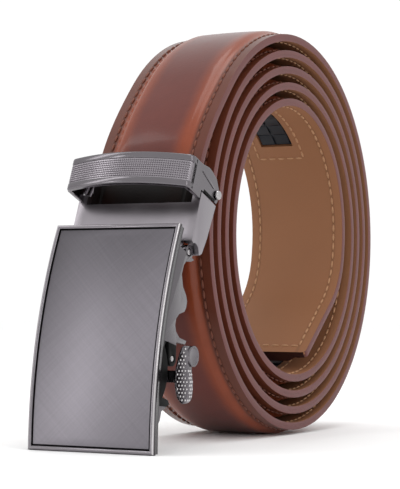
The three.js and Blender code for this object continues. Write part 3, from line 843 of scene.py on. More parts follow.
class BELT_OT_strap(bpy.types.Operator):
    """Builds the outer leather with its padded middle and painted edges"""

    bl_idname = "belt.strap"
    bl_label = "Strap leather"

    def execute(self, context):
        strap, coil, buckle = settings()
        points, _ = strap_route(coil, strap, buckle)
        end = route_length(points)
        half = strap.width / 2
        seam = 0.02 * MM
        obj = block("leather", (0, strap.lining + seam, -half), (end, strap.edge, half))
        round_tip(obj, strap, end)
        bevel_edges(
            obj, lambda edge: runs(edge, 0) and near(middle_of(edge).y, strap.edge), strap.rim, 3)
        shoulder_shares = (0, 0.25, 0.5, 0.75, 1, 1.6, 2.4, 3.4)
        lines = [strap.margin + share * strap.shoulder for share in shoulder_shares]
        lines = [line for line in lines if line < half] + [half]
        cut_across(obj, 2, sorted({side * (half - line) for line in lines for side in (-1, 1)}))
        with editing(obj):
            for line in lines[1:]:
                pick(obj, "VERT", lambda vert: vert.co.y > strap.edge - 0.01 * MM
                     and near(abs(vert.co.z), half - line))
                bpy.ops.transform.translate(value=(0, strap_rise(strap, line), 0))
        cut_lengthwise(obj, strap.ring)
        self.flatten_in_clamp(obj, strap, buckle)
        keep_flat_place(obj)
        for polygon in obj.data.polygons:
            polygon.material_index = int(edge_on(polygon))
        bend_along(obj, points)
        settle(obj, BENT_TO_BELT)
        finished(obj, "belt_leather", STRAP_BODY, "leather",
                 [leather_finish(strap), paint_finish(strap, end)], "strap_leather", angle=40)
        return {"FINISHED"}

    def flatten_in_clamp(self, obj, strap, buckle):
        """Presses the padding flat where the clamp holds the strap."""
        flat_until, rise_over = buckle.strap_grip * 0.8, buckle.strap_grip * 0.45
        flattest = 0.02
        with editing(obj):
            places = sorted({round(vert.co.x, 6) for vert in bmesh.from_edit_mesh(obj.data).verts})
            for place in [p for p in places if p < flat_until + rise_over]:
                share = max(smooth_share((place - flat_until) / rise_over), flattest)
                pick(obj, "VERT", lambda vert: near(vert.co.x, place) and vert.co.y > strap.edge)
                bpy.ops.transform.resize(value=(1, share, 1), center_override=(place, strap.edge, 0))


class BELT_OT_lining(bpy.types.Operator):
    """Builds the lining, with the window for the track"""

    bl_idname = "belt.lining"
    bl_label = "Lining"

    def execute(self, context):
        strap, coil, buckle = settings()
        points, track_end = strap_route(coil, strap, buckle)
        end = route_length(points)
        half = strap.width / 2
        obj = block("lining", (0, 0, -half), (end, strap.lining, half))
        round_tip(obj, strap, end)
        bevel_edges(
            obj, lambda edge: runs(edge, 0) and near(middle_of(edge).y, 0)
            and abs(middle_of(edge).z) > half * 0.9,
            strap.rim * 0.7, 3)
        window_half = coil.track_width / 2 + buckle.gap
        sides = [coil.track_offset - window_half, coil.track_offset + window_half]
        ends = [track_end - coil.track_length - buckle.gap, track_end + buckle.gap]
        cut_across(obj, 2, [*sides, -half + strap.inner_row, half - strap.inner_row])
        cut_across(obj, 0, ends)
        with editing(obj):
            pick(obj, "FACE", lambda face: abs(face.normal.y) > 0.9
                 and ends[0] < face.calc_center_median().x < ends[1]
                 and sides[0] < face.calc_center_median().z < sides[1])
            bpy.ops.mesh.bridge_edge_loops()
        cut_lengthwise(obj, strap.ring)
        keep_flat_place(obj)
        for polygon in obj.data.polygons:
            outside = abs(polygon.center.z) > half * 0.95 or polygon.center.x > end - 0.1 * MM
            polygon.material_index = int(outside and edge_on(polygon))
        bend_along(obj, points)
        settle(obj, BENT_TO_BELT)
        finished(obj, "belt_lining", STRAP_BODY, "lining",
                 [lining_finish(strap), paint_finish(strap, end)], "strap_lining", angle=40)
        return {"FINISHED"}


def stitch(strap, place, along_x=True):
    """One stitch, sunk a little into the leather at both ends."""
    bpy.ops.object.select_all(action="DESELECT")
    bpy.ops.mesh.primitive_uv_sphere_add(segments=6, ring_count=4, radius=0.5, location=(0, 0, 0))
    obj = bpy.context.object
    obj.rotation_euler = (0, math.radians(90), 0)
    freeze(obj)
    obj.scale = (strap.stitch_long, strap.thread, strap.thread)
    freeze(obj)
    if not along_x:
        obj.rotation_euler = (0, math.radians(90), 0)
    obj.location = Vector(place)
    return freeze(obj)


def stitch_row(strap, start, end, height, across):
    """Stitches along the strap."""
    count = round((end - start) / strap.stitch_pitch)
    step = (end - start) / count
    first = stitch(strap, (start + step / 2, height, across))
    return row_of(first, count, (step, 0, 0))


def stitch_line(strap, place, middle, reach):
    """Stitches across the strap, at one place along it."""
    count = int(2 * reach / strap.stitch_pitch)
    step = 2 * reach / count
    first = stitch(strap, (place, 0, middle - reach + step / 2), along_x=False)
    return row_of(first, count, (0, 0, step))


class BELT_OT_stitching(bpy.types.Operator):
    """Sews both edges, and the outline round the track's window"""

    bl_idname = "belt.stitching"
    bl_label = "Stitching"

    def execute(self, context):
        strap, coil, buckle = settings()
        points, track_end = strap_route(coil, strap, buckle)
        end = route_length(points)
        half = strap.width / 2
        outer = half - strap.outer_row
        top = strap.edge + 0.02 * MM
        rows = [stitch_row(strap, buckle.strap_grip, end - strap.outer_row, top, side * outer)
                for side in (-1, 1)]
        thread = thread_finish("outer_thread", strap.outer_thread)
        self.sew(joined(*rows), points, "outer_stitches", "leather", thread)
        inner = half - strap.inner_row
        tip = end - strap.inner_row
        rows = [stitch_row(strap, buckle.strap_grip, tip, 0, side * inner) for side in (-1, 1)]
        rows.append(stitch_line(strap, tip, 0, inner))
        reach = coil.track_width / 2 + strap.window_row
        beyond = strap.window_row * 2
        ends = [track_end - coil.track_length - beyond, track_end + beyond]
        rows += [stitch_row(strap, *ends, 0, coil.track_offset + side * reach) for side in (-1, 1)]
        rows += [stitch_line(strap, place, coil.track_offset, reach) for place in ends]
        thread = thread_finish("inner_thread", strap.inner_thread)
        self.sew(joined(*rows), points, "lining_stitches", "lining", thread)
        return {"FINISHED"}

    def sew(self, obj, points, name, slot, finish):
        bend_along(obj, points)
        settle(obj, BENT_TO_BELT)
        finished(obj, name, STRAP_BODY, slot, [finish], angle=60)


class BELT_OT_track(bpy.types.Operator):
    """Builds the toothed track in two columns"""

    bl_idname = "belt.track"
    bl_label = "Ratchet track"

    def execute(self, context):
        strap, coil, buckle = settings()
        points, track_end = strap_route(coil, strap, buckle)
        start = track_end - coil.track_length
        half = coil.track_width / 2
        low, high = coil.track_offset - half, coil.track_offset + half
        valley, peak = 0.8 * MM, 0.2 * MM
        obj = block("track", (start, valley, low), (track_end, strap.lining, high))
        cut_lengthwise(obj, strap.ring)
        rail = 0.5 * MM
        columns = [(low + rail, coil.track_offset - rail), (coil.track_offset + rail, high - rail)]
        tooth_from, tooth_to = start + 0.2 * MM, start + coil.tooth_pitch * 0.86
        sunk_root = 0.1 * MM
        slope = 0.8
        teeth = []
        for near_side, far_side in columns:
            tooth = block(
                "tooth", (tooth_from, peak, near_side), (tooth_to, valley + sunk_root, far_side))
            with editing(tooth):
                pick(tooth, "VERT", lambda vert: near(vert.co.y, peak) and near(vert.co.x, tooth_from))
                bpy.ops.transform.translate(value=(0, (valley - peak) * slope, 0))
            bevel_edges(tooth, lambda edge: near(middle_of(edge).y, peak) and runs(edge, 2), 0.1 * MM, 2)
            count = int(coil.track_length / coil.tooth_pitch)
            teeth.append(row_of(tooth, count, (coil.tooth_pitch, 0, 0)))
        obj = joined(obj, *teeth)
        bend_along(obj, points)
        settle(obj, BENT_TO_BELT)
        finished(obj, "toothed_track", STRAP_BODY, "track",
                 [plastic_finish(buckle.track)], "ratchet_track")
        return {"FINISHED"}


# Buckle


class BELT_OT_face(bpy.types.Operator):
    """Builds the curved frame with its polished rim and the brushed inlay"""

    bl_idname = "belt.face"
    bl_label = "Face plate"
    ring = 2.4 * MM

    def execute(self, context):
        _, _, buckle = settings()
        self.frame_piece(buckle)
        self.inlay_piece(buckle)
        return {"FINISHED"}

    def frame_piece(self, buckle):
        half = buckle.face_width / 2
        long = buckle.face_length
        rim = buckle.frame_rim
        step_top, step_foot, step_in = 1.6 * MM, 1.95 * MM, 0.2 * MM
        obj = block("frame", (0, -buckle.frame_depth, -half), (long, 0, half))
        cut_across(obj, 1, [-step_top, -step_foot])
        with editing(obj):
            pick(obj, "VERT", lambda vert: vert.co.y < -(step_top + step_foot) / 2)
            shrink = (1 - 2 * step_in / long, 1, 1 - step_in / half)
            bpy.ops.transform.resize(value=shrink, center_override=(long / 2, 0, 0))
            pick(obj, "FACE", lambda face: face.normal.y > 0.9)
            bpy.ops.mesh.inset(thickness=rim, depth=0)
            pick(obj, "FACE", lambda face: face.normal.y > 0.9
                 and near(face.calc_center_median().z, 0)
                 and near(face.calc_center_median().x, long / 2))
            bpy.ops.mesh.extrude_region_move(TRANSFORM_OT_translate={"value": (0, -buckle.recess, 0)})
        rounding = 0.55 * MM
        for inset, width, segments in ((0, rounding, 5), (rim, 0.4 * MM, 3)):
            bevel_edges(obj, lambda edge: self.on_outline(edge, half, long, inset), width, segments)
        for polygon in obj.data.polygons:
            polygon.material_index = self.frame_look(polygon, buckle, rounding)
        cut_lengthwise(obj, self.ring)
        bend_along(obj, face_route(buckle))
        settle(obj, BENT_TO_BELT)
        # Painted light on the frame: the rim's gunmetal is brightened partly as a painted highlight, the
        # outer bevels take a bright painted highlight, the outer sides a dark painted shade, and the recess a
        # near-black painted shade.
        looks = [
            metal_finish("polished_rim", buckle.gunmetal, roughness=0.1, uneven=0.06, brightness=1.3),
            shade_black_finish(buckle.painted_shade_tone),
            metal_finish("frame_side_shade", buckle.gunmetal, roughness=0.16, uneven=0.06, brightness=0.3),
            metal_finish("edge_painted_highlight", buckle.steel, roughness=0.1, uneven=0.04, brightness=1.3),
        ]
        finished(obj, "buckle_frame", BUCKLE_BODY, "gunmetal", looks, "face_frame")

    def on_outline(self, edge, half, long, inset):
        """Whether an edge of the flat frame's front lies on its outline, or on the one inset from it."""
        x, y, z = middle_of(edge)
        on_side = near(abs(z), half - inset) or near(x, inset) or near(x, long - inset)
        return near(y, 0) and on_side and (runs(edge, 0) or runs(edge, 2))

    def frame_look(self, polygon, buckle, rounding):
        """Place in the frame's list of finishes for one face of the flat frame."""
        # Recess walls take near-black painted shade, outer sides a darker painted shade, outer bevels a
        # painted highlight.
        rim_look, recess_shade_look, side_shade_look, edge_highlight_look = range(4)
        half = buckle.face_width / 2
        wall = 1 * MM
        centre, sideways = polygon.center, abs(polygon.normal.z)
        inside = abs(centre.z) < half - wall and wall < centre.x < buckle.face_length - wall
        outer = abs(centre.z) > half - wall / 2
        if inside and centre.y < -buckle.inlay_front and polygon.normal.y > -0.5:
            return recess_shade_look
        if outer and sideways > 0.8 and centre.y < -rounding:
            return side_shade_look
        if outer and 0.3 < sideways <= 0.9:
            return edge_highlight_look
        return rim_look

    def inlay_piece(self, buckle):
        inset = buckle.frame_rim + buckle.gap
        half = buckle.face_width / 2 - inset
        far = buckle.face_length - inset
        obj = block("inlay", (inset, -buckle.inlay_back, -half), (far, -buckle.inlay_front, half))
        bevel_edges(obj, lambda edge: near(middle_of(edge).y, -buckle.inlay_front), 0.25 * MM)
        cut_lengthwise(obj, self.ring)
        keep_flat_place(obj)
        bend_along(obj, face_route(buckle))
        settle(obj, BENT_TO_BELT)
        finished(obj, "brushed_plate", BUCKLE_BODY, "brushed_inlay", [inlay_finish(buckle)], "face_inlay")


class BELT_OT_base(bpy.types.Operator):
    """Breaks the edges of the base's walls, plates and lugs, and closes its lower opening with near-black
    plates as painted shade
    """

    bl_idname = "belt.base"
    bl_label = "Base"

    def execute(self, context):
        _, _, buckle = settings()
        base = cad_copy("buckle_base", "base", 0.22 * MM)
        opening = (14 * MM, 33.5 * MM)
        self.darken_opening_as_shade(base, buckle, opening)
        dark_sheets = joined(*[self.shade_sheet(buckle, side) for side in (-1, 1)])
        finished(dark_sheets, "base_shade_black_sheets", BUCKLE_BODY, "gunmetal", [shade_black_finish(buckle.painted_shade_tone)])
        cast = metal_finish("cast_walls", buckle.gunmetal, roughness=0.16, uneven=0.1, brightness=0.72)
        finished(base, "base_walls", BUCKLE_BODY, "gunmetal",
                 [cast, shade_black_finish(buckle.painted_shade_tone)], "buckle_base")
        return {"FINISHED"}

    def darken_opening_as_shade(self, base, buckle, opening):
        """Colours the walls and lugs beside the lower opening near-black, as painted shade."""
        centre = ZERO + Vector((0, buckle.face_front + buckle.face_radius, 0))
        with editing(base):
            for along in opening:
                angle = along / buckle.face_radius
                bpy.ops.mesh.select_all(action="SELECT")
                bpy.ops.mesh.bisect(plane_co=centre, plane_no=(0, math.sin(angle), math.cos(angle)))
        for polygon in base.data.polygons:
            place = polygon.center - centre
            along = math.atan2(place.z, -place.y) * buckle.face_radius
            polygon.material_index = int(opening[0] < along < opening[1])

    def shade_sheet(self, buckle, side):
        """A near-black plate that closes the base's lower opening at one side, as painted shade."""
        steps = 12
        start, tall, thickness = 14 * MM, 19 * MM, 0.4 * MM
        front, shallow, bulge, fullness = 3.6 * MM, 3.9 * MM, 5.4 * MM, 0.6
        outer = 19.3 * MM
        shares = [index / steps for index in range(steps + 1)]
        outline = [face_point(buckle, start + tall * share, front) for share in shares]
        for share in reversed(shares):
            depth = shallow + bulge * math.sin(math.pi * share) ** fullness
            outline.append(face_point(buckle, start + tall * share, depth))
        obj = plate("shade_sheet", outline, thickness)
        x = outer - thickness if side > 0 else -outer
        return settle(obj, Matrix.Translation((x, 0, 0)) @ BENT_TO_BELT)


class BELT_OT_clamp(bpy.types.Operator):
    """Breaks the edges of the clamp's housing and jaw"""

    bl_idname = "belt.clamp"
    bl_label = "Clamp"

    def execute(self, context):
        _, _, buckle = settings()
        housing = cad_copy("clamp_housing", "housing", 0.28 * MM, 3)
        # The shell's gunmetal is brightened partly to match its tone and partly as painted light, lifting the
        # shade under the keeper loop.
        satin = metal_finish("satin_shell", buckle.gunmetal, roughness=0.24, uneven=0.12, brightness=1.55)
        finished(housing, "clamp_shell", STRAP_BODY, "gunmetal", [satin], "clamp_housing")
        jaw = cad_copy("clamp_jaw", "jaw", 0.1 * MM)
        steel = metal_finish("jaw_steel", buckle.steel, roughness=0.3, uneven=0.1)
        finished(jaw, "toothed_jaw", JAW_BODY, "steel", [steel], "clamp_jaw")
        return {"FINISHED"}


def loop_route(buckle):
    """Points round the outside of the keeper loop, from its left leg to its right one, as (x, out)."""
    half = buckle.face_width / 2
    corner = buckle.loop_corner
    bow_half = half - corner
    foot = buckle.loop_depth - 2 * corner
    leg_end = (half, buckle.loop_depth - corner)
    bow_steps, shoulder_steps = 28, 8
    bow = []
    for index in range(bow_steps + 1):
        share = -1 + 2 * index / bow_steps
        bow.append((share * bow_half, buckle.loop_depth + buckle.loop_bow * (1 - share * share)))
    control = (half - corner * 0.12, buckle.loop_depth - corner * 0.2)
    shoulder = []
    for index in range(1, shoulder_steps):
        t = index / shoulder_steps
        weights = ((1 - t) ** 2, 2 * t * (1 - t), t * t)
        shoulder.append(blend(weights, (leg_end, control, bow[-1])))
    left = [(-x, out) for x, out in shoulder]
    return [(-half, foot), (-half, leg_end[1]), *left, *bow, *reversed(shoulder), leg_end, (half, foot)]


class BELT_OT_keeper_loop(bpy.types.Operator):
    """Builds the keeper loop: two polished rails, a band of fine squares, legs and ears"""

    bl_idname = "belt.keeper_loop"
    bl_label = "Keeper loop"

    def execute(self, context):
        _, _, buckle = settings()
        route = loop_route(buckle)
        end = route_length(route)
        height = buckle.loop_height
        sunk, leg = 0.35 * MM, 1.9 * MM
        obj = block("loop", (0, -buckle.loop_wall, 0), (end, 0, height))
        band_ends = (leg, end - leg)
        cut_across(obj, 0, band_ends)
        cut_across(obj, 2, (buckle.rail, height - buckle.rail))
        middle_face = Vector((end / 2, 0, height / 2))
        with editing(obj):
            pick(obj, "FACE", lambda face: face.normal.y > 0.9
                 and (face.calc_center_median() - middle_face).length < 0.3 * MM)
            bpy.ops.mesh.extrude_region_move(TRANSFORM_OT_translate={"value": (0, -sunk, 0)})
        bevel_edges(
            obj, lambda edge: near(middle_of(edge).y, 0) and runs(edge, 0)
            and (near(middle_of(edge).z, 0) or near(middle_of(edge).z, height)),
            0.55 * MM, 4)
        slack = 0.01 * MM
        bevel_edges(
            obj, lambda edge: near(middle_of(edge).y, 0)
            and abs(middle_of(edge).x - end / 2) < end / 2 - leg + slack
            and abs(middle_of(edge).z - height / 2) < height / 2 - buckle.rail + slack,
            0.25 * MM)
        cut_lengthwise(obj, 0.9 * MM)
        studs = self.studs(buckle, band_ends, sunk)
        obj = joined(obj, studs)
        fine_faces = [
            polygon.index for polygon in obj.data.polygons
            if abs(polygon.center.z - height / 2) < height / 2 - buckle.rail
            and -sunk - slack < polygon.center.y < -0.05 * MM]
        bend_along(obj, route)
        self.turn_over(obj, buckle)
        ears = [self.ear(buckle, side) for side in (-1, 1)]
        obj = face_outwards(joined(obj, *ears))
        for index in fine_faces:
            obj.data.polygons[index].material_index = 1
        settle(obj, clamp_matrix(buckle))
        slot_shades = joined(*[self.slot(buckle, side) for side in (-1, 1)])
        settle(slot_shades, clamp_matrix(buckle))
        finished(slot_shades, "ear_slot_shades", STRAP_BODY, "gunmetal", [shade_black_finish(buckle.painted_shade_tone)])
        looks = [
            metal_finish("polished_loop", buckle.gunmetal, roughness=0.12, uneven=0.08, brightness=0.9),
            # The fine squares take a brightened copy of the gunmetal, as painted light lifting the shade
            # between them.
            metal_finish("fine_squares", buckle.gunmetal, roughness=0.2, uneven=0.1, brightness=1.7),
        ]
        finished(obj, "keeper_band", STRAP_BODY, "gunmetal", looks, "keeper_loop")
        return {"FINISHED"}

    def studs(self, buckle, band_ends, sunk):
        """The fine raised squares between the rails."""
        end_gap, rail_gap = 0.2 * MM, 0.3 * MM
        root, top = -sunk - 0.05 * MM, -0.08 * MM
        low = (band_ends[0] + end_gap, buckle.rail + rail_gap)
        high = (band_ends[1] - end_gap, buckle.loop_height - buckle.rail - rail_gap)
        size = buckle.knurl * 0.8
        stud = block("stud", (low[0], root, low[1]), (low[0] + size, top, low[1] + size))
        with editing(stud):
            pick(stud, "FACE", lambda face: face.normal.y > 0.9)
            bpy.ops.transform.resize(value=(0.5, 1, 0.5))
        along, across = (int((high[axis] - low[axis]) / buckle.knurl) for axis in (0, 1))
        row_of(stud, along, (buckle.knurl, 0, 0))
        return row_of(stud, across, (0, 0, (high[1] - low[1] - size) / (across - 1)))

    def turn_over(self, obj, buckle):
        """Puts the bent band upright on the clamp: its outside towards -Y, its foot at the loop's start."""
        obj.data.transform(Matrix.Scale(-1, 4, (0, 1, 0)))
        obj.location = (0, 0, buckle.loop_start)
        freeze(obj)

    def slot(self, buckle, side):
        """A near-black strip in the slot along the foot of an ear, as painted shade."""
        half = buckle.face_width / 2
        proud, sunk = 0.03 * MM, 0.2 * MM
        front, back = -1.6 * MM, 6 * MM
        foot, top = 18.85 * MM, 19.65 * MM
        left, right = sorted((side * (half + proud), side * (half - sunk)))
        return soften(block("slot", (left, front, foot), (right, back, top)), 0.06 * MM)

    def ear(self, buckle, side):
        """The plate beside the strap that carries the rivet, with a rib across it."""
        half = buckle.face_width / 2
        top = buckle.loop_start + buckle.loop_height
        front = buckle.loop_depth - buckle.loop_corner
        rivet, foot, wing = 21.4 * MM, 18.8 * MM, 2.9 * MM
        outline = [
            (wing, buckle.loop_start), (front, buckle.loop_start), (front, top), (front / 2, top),
            (0.6 * MM, top + 0.9 * MM), (-1.4 * MM, top + 0.7 * MM), (-4.9 * MM, top - 0.2 * MM),
            (-7.6 * MM, rivet + 2 * MM), (-8.5 * MM, rivet), (-7.4 * MM, foot + 0.1 * MM), (wing, foot),
        ]
        points = [(-out, along) for out, along in outline]
        if side > 0:
            points.reverse()
        thickness = buckle.loop_wall - 0.1 * MM
        obj = plate("ear", points, thickness)
        with editing(obj):
            pick(obj, "FACE", lambda face: len(face.verts) > 6 and face.normal.z * side > 0.9)
            bpy.ops.mesh.inset(thickness=0.5 * MM, depth=0)
        x = half - thickness if side > 0 else -half
        settle(obj, Matrix.Translation((x, 0, 0)) @ BENT_TO_BELT.to_3x3().to_4x4())
        soften(obj, 0.25 * MM, 3)
        return joined(obj, self.rib(half, side))

    def rib(self, half, side):
        """The raised rib on the outside of an ear."""
        long, thick = 8.4 * MM, 0.7 * MM
        proud, sunk = 0.25 * MM, 0.1 * MM
        height, slope = 23.4 * MM, math.radians(-11.7)
        rib = block("rib", (half - sunk, -long / 2, -thick / 2), (half + proud, long / 2, thick / 2))
        rib.data.transform(Matrix.Translation((0, 0, height)) @ Matrix.Rotation(slope, 4, "X"))
        soften(rib, 0.2 * MM)
        if side < 0:
            rib.data.transform(Matrix.Scale(-1, 4, (1, 0, 0)))
            face_outwards(rib)
        return rib


# Outline of the lever's tab seen from the front: shares of its width and height.
TAB_OUTLINE = [
    {"across": 0.62, "up": 0}, {"across": 0.86, "up": 0.05}, {"across": 0.97, "up": 0.18},
    {"across": 0.98, "up": 0.36}, {"across": 0.93, "up": 0.52}, {"across": 0.9, "up": 0.65},
    {"across": 0.92, "up": 0.8}, {"across": 0.88, "up": 0.94}, {"across": 0.74, "up": 1},
    {"across": 0.56, "up": 0.97}, {"across": 0.42, "up": 0.86}, {"across": 0.3, "up": 0.72},
    {"across": 0.18, "up": 0.55}, {"across": 0.15, "up": 0.36}, {"across": 0.24, "up": 0.17},
    {"across": 0.4, "up": 0.05},
]
TAB_WIDTH, TAB_DEPTH, TAB_HEIGHT = 5.6 * MM, 2.6 * MM, 16.5 * MM


class BELT_OT_lever(bpy.types.Operator):
    """Builds the release lever with its studded tab and round end"""

    bl_idname = "belt.lever"
    bl_label = "Release lever"

    def execute(self, context):
        _, _, buckle = settings()
        low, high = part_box("release_lever")
        start = high.x - TAB_WIDTH
        corner = (start, low.y, low.z)
        arm = cad_copy("release_lever", "arm", 0.12 * MM)
        for place in (start + TAB_WIDTH * 0.3, start - 0.05 * MM):
            self.cut_off(arm, place)
        arm_look = metal_finish("lever_metal", buckle.gunmetal, roughness=0.14, uneven=0.08)
        tab_look = metal_finish("tab_metal", buckle.gunmetal, roughness=0.16, uneven=0.08, brightness=0.85)
        # The studs are steel, brightened further as painted light so that those facing the frame's shade do
        # not go dark.
        stud_look = metal_finish("bright_studs", buckle.steel, roughness=0.12, uneven=0.06, brightness=1.3)
        finished(arm, "lever_arm", LEVER_BODY, "gunmetal", [arm_look], "release_lever")
        finished(self.tab(corner), "lever_tab", LEVER_BODY, "gunmetal", [tab_look], angle=50)
        studs = joined(*self.studs(corner))
        finished(studs, "lever_studs", LEVER_BODY, "gunmetal", [stud_look], angle=60)
        return {"FINISHED"}

    def cut_off(self, arm, place):
        """Leaves only the arm inside the buckle: called for the plain tab, and then for its stump."""
        with editing(arm):
            bpy.ops.mesh.select_all(action="SELECT")
            bpy.ops.mesh.bisect(
                plane_co=(place, 0, 0), plane_no=(1, 0, 0), clear_outer=True, use_fill=True)

    def tab(self, corner):
        """The tab with its sunk front, its round end and the stub that ties it to the arm."""
        start, front, foot = corner
        outline = [
            (start + point["across"] * TAB_WIDTH, foot + point["up"] * TAB_HEIGHT)
            for point in TAB_OUTLINE]
        obj = plate("tab", rounded(outline, steps=2), TAB_DEPTH)
        soften(obj, 0.2 * MM, 3, angle=40)
        with editing(obj):
            pick(obj, "FACE", lambda face: face.normal.z > 0.9 and len(face.verts) > 12)
            bpy.ops.mesh.inset(thickness=0.25 * MM, depth=0, use_even_offset=False)
            bpy.ops.mesh.inset(thickness=0.12 * MM, depth=-0.15 * MM, use_even_offset=False)
        back = front + TAB_DEPTH
        settle(obj, Matrix(((1, 0, 0, 0), (0, 0, -1, back), (0, 1, 0, 0), (0, 0, 0, 1))))
        stub_foot, stub_top, stub_back = 6 * MM, 9.2 * MM, 1.6 * MM
        stub = block(
            "stub",
            (start - 0.1 * MM, front + TAB_DEPTH * 0.4, foot + stub_foot),
            (start + TAB_WIDTH * 0.6, back + stub_back, foot + stub_top))
        soften(stub, 0.4 * MM)
        return joined(obj, self.head(corner), stub)

    def head(self, corner):
        """The round end with its sunk face."""
        start, front, foot = corner
        radius, up = 3 * MM, 0.81
        centre = (front + radius, foot + up * TAB_HEIGHT)
        head = round_bar("head", centre, radius, start + TAB_WIDTH * 0.42, start + TAB_WIDTH, sides=32)
        with editing(head):
            pick(head, "FACE", lambda face: face.normal.x > 0.9)
            bpy.ops.mesh.inset(thickness=0.55 * MM, depth=0)
            bpy.ops.mesh.inset(thickness=0.1 * MM, depth=-0.25 * MM)
        return soften(head, 0.22 * MM, 3)

    def studs(self, corner):
        """Small round studs in staggered rows over the tab's front and outer side."""
        start, front, foot = corner
        pitch, radius = 1.0 * MM, 0.4 * MM
        front_sunk, side_sunk = 0.14 * MM, 0.12 * MM
        border, side_rows_until = 0.1, 0.6
        rows = int(TAB_HEIGHT / pitch)
        places = []
        for row in range(1, rows):
            up = row / rows
            left, right = self.reach(up)
            shift = 0.5 * (row % 2)
            height = foot + up * TAB_HEIGHT
            for column in range(-5, 6):
                x = start + TAB_WIDTH * 0.5 + (column + shift) * pitch
                if left + border < (x - start) / TAB_WIDTH < right - border:
                    places.append((x, front + front_sunk, height))
            if up < side_rows_until:
                x = start + right * TAB_WIDTH - side_sunk
                places += [(x, front + (column - shift) * pitch, height) for column in (1, 2)]
        made = []
        for place in places:
            bpy.ops.object.select_all(action="DESELECT")
            bpy.ops.mesh.primitive_ico_sphere_add(subdivisions=2, radius=radius, location=place)
            made.append(freeze(bpy.context.object))
        return made

    def reach(self, up):
        """Left and right shares of the tab's outline at a height."""
        crossings = []
        for first, second in zip(TAB_OUTLINE, TAB_OUTLINE[1:] + TAB_OUTLINE[:1]):
            low, high = sorted((first, second), key=lambda point: point["up"])
            if low["up"] <= up < high["up"]:
                share = (up - low["up"]) / (high["up"] - low["up"])
                crossings.append(low["across"] + (high["across"] - low["across"]) * share)
        return min(crossings), max(crossings)


class BELT_OT_pins(bpy.types.Operator):
    """Builds the two cross pins and the domed rivets"""

    bl_idname = "belt.pins"
    bl_label = "Pins and rivets"

    def execute(self, context):
        _, _, buckle = settings()
        finish = metal_finish("bright_steel", buckle.steel, roughness=0.16, uneven=0.08)
        for node, name, body in (
                ("hinge_pin", "hinge_rod", STRAP_BODY), ("lever_pin", "lever_rod", BUCKLE_BODY)):
            low, high, centre, radius = self.bar_of(node)
            rod = round_bar(name, centre, radius, low, high)
            bevel_edges(
                rod, lambda edge: near(middle_of(edge).x, low) or near(middle_of(edge).x, high),
                0.3 * MM, 3)
            finished(rod, name, body, "steel", [finish], node)
        for node, name, side in (
                ("jaw_rivet_right", "domed_rivet_right", 1), ("jaw_rivet_left", "domed_rivet_left", -1)):
            low, high, centre, radius = self.bar_of(node)
            outside, inside = (high, low) if side > 0 else (low, high)
            shoulder = outside - side * 0.9 * MM
            shaft = round_bar("shaft", centre, 0.6 * radius, *sorted((inside, shoulder)))
            bevel_edges(shaft, lambda edge: near(middle_of(edge).x, inside), 0.2 * MM)
            head = round_bar("head", centre, radius, *sorted((shoulder, outside)), sides=32)
            bevel_edges(head, lambda edge: near(middle_of(edge).x, outside), 0.75 * MM, 6)
            bevel_edges(head, lambda edge: near(middle_of(edge).x, shoulder), 0.1 * MM)
            finished(joined(head, shaft), name, STRAP_BODY, "steel", [finish], node)
        return {"FINISHED"}

    def bar_of(self, node):
        """Ends, middle and radius of the round bar that a node is."""
        low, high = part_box(node)
        centre = ((low.y + high.y) / 2, (low.z + high.z) / 2)
        return low.x, high.x, centre, (high.z - low.z) / 2


# Stage


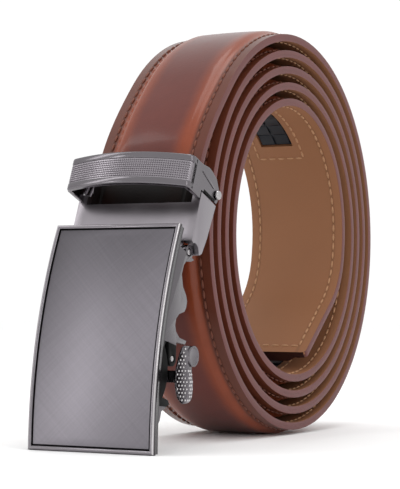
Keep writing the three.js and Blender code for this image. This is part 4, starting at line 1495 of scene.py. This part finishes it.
class BELT_OT_stage(bpy.types.Operator):
    """Sets the floor, the soft light and the camera"""

    bl_idname = "belt.stage"
    bl_label = "Stage"

    def execute(self, context):
        scene = context.scene
        stage = scene.belt_stage
        bpy.ops.object.select_all(action="DESELECT")
        bpy.ops.mesh.primitive_circle_add(
            vertices=64, radius=6, fill_type="NGON", location=(0, 0, -0.1 * MM))
        floor = named(freeze(context.object), "floor")
        floor.data.materials.append(floor_finish(stage.floor))
        self.surroundings(scene, stage)
        self.lamps()
        self.camera(scene, stage)
        scene.view_settings.view_transform = "Standard"
        return {"FINISHED"}

    def surroundings(self, scene, stage):
        scene.world = bpy.data.worlds.new("surroundings")
        scene.world.use_nodes = True
        background = scene.world.node_tree.nodes["Background"]
        background.inputs["Color"].default_value = (1, 1, 1, 1)
        background.inputs["Strength"].default_value = stage.light

    def lamps(self):
        aim = ZERO + Vector((0, -30, 60)) * MM
        for name, place, size, power in (
                ("upper_left", (-0.9, -0.6, 0.9), (0.2, 0.9), 1.5),
                ("overhead", (0.1, 0.1, 1.2), (0.8, 0.5), 3.4),
                ("front_strip", (-0.75, -1.0, 0.25), (0.1, 0.9), 1.0),
                ("right_side", (1.0, -0.3, 0.5), (0.12, 0.8), 1.0)):
            bpy.ops.object.light_add(type="AREA", location=aim + Vector(place))
            lamp = bpy.context.object
            lamp.name = name
            lamp.data.shape = "RECTANGLE"
            lamp.data.size, lamp.data.size_y = size
            lamp.data.energy = power
            lamp.rotation_euler = (-Vector(place)).to_track_quat("-Z", "Y").to_euler()

    def camera(self, scene, stage):
        bpy.ops.object.camera_add(location=ZERO + Vector(stage.camera))
        camera = bpy.context.object
        turn, flat = stage.azimuth, math.cos(stage.elevation)
        back = Vector((math.sin(turn) * flat, -math.cos(turn) * flat, math.sin(stage.elevation)))
        aimed = (-back).to_track_quat("-Z", "Y").to_matrix().to_4x4()
        camera.matrix_world = (
            Matrix.Translation(camera.location) @ aimed @ Matrix.Rotation(stage.roll, 4, "Z"))
        camera.data.sensor_width = 36
        camera.data.lens = stage.lens
        camera.data.clip_start = 0.01
        scene.camera = camera


class BELT_PT_panel(bpy.types.Panel):
    """Lists the belt's pieces and their sizes."""

    bl_idname = "BELT_PT_panel"
    bl_label = "Ratchet Belt"
    bl_space_type = "VIEW_3D"
    bl_region_type = "UI"
    bl_category = "Belt"

    def draw(self, context):
        for operator in OPERATORS:
            self.layout.operator(operator.bl_idname)
        for group, _ in SETTINGS:
            box = self.layout.box()
            held = getattr(context.scene, group)
            for name in held.bl_rna.properties.keys():
                if name not in ("rna_type", "name"):
                    box.prop(held, name)


OPERATORS = (
    BELT_OT_stage, BELT_OT_strap, BELT_OT_lining, BELT_OT_stitching, BELT_OT_track, BELT_OT_face,
    BELT_OT_base, BELT_OT_clamp, BELT_OT_keeper_loop, BELT_OT_lever, BELT_OT_pins,
)
SETTINGS = (
    ("belt_strap", StrapSettings), ("belt_coil", CoilSettings),
    ("belt_buckle", BuckleSettings), ("belt_stage", StageSettings),
)


def register():
    for name, group in SETTINGS:
        bpy.utils.register_class(group)
        setattr(bpy.types.Scene, name, bpy.props.PointerProperty(type=group))
    for operator in OPERATORS:
        bpy.utils.register_class(operator)
    bpy.utils.register_class(BELT_PT_panel)


def unregister():
    bpy.utils.unregister_class(BELT_PT_panel)
    for operator in reversed(OPERATORS):
        bpy.utils.unregister_class(operator)
    for name, group in reversed(SETTINGS):
        delattr(bpy.types.Scene, name)
        bpy.utils.unregister_class(group)


def main():
    register()
    for operator in OPERATORS:
        getattr(bpy.ops.belt, operator.bl_idname.split(".")[1])()


if __name__ == "__main__":
    main()
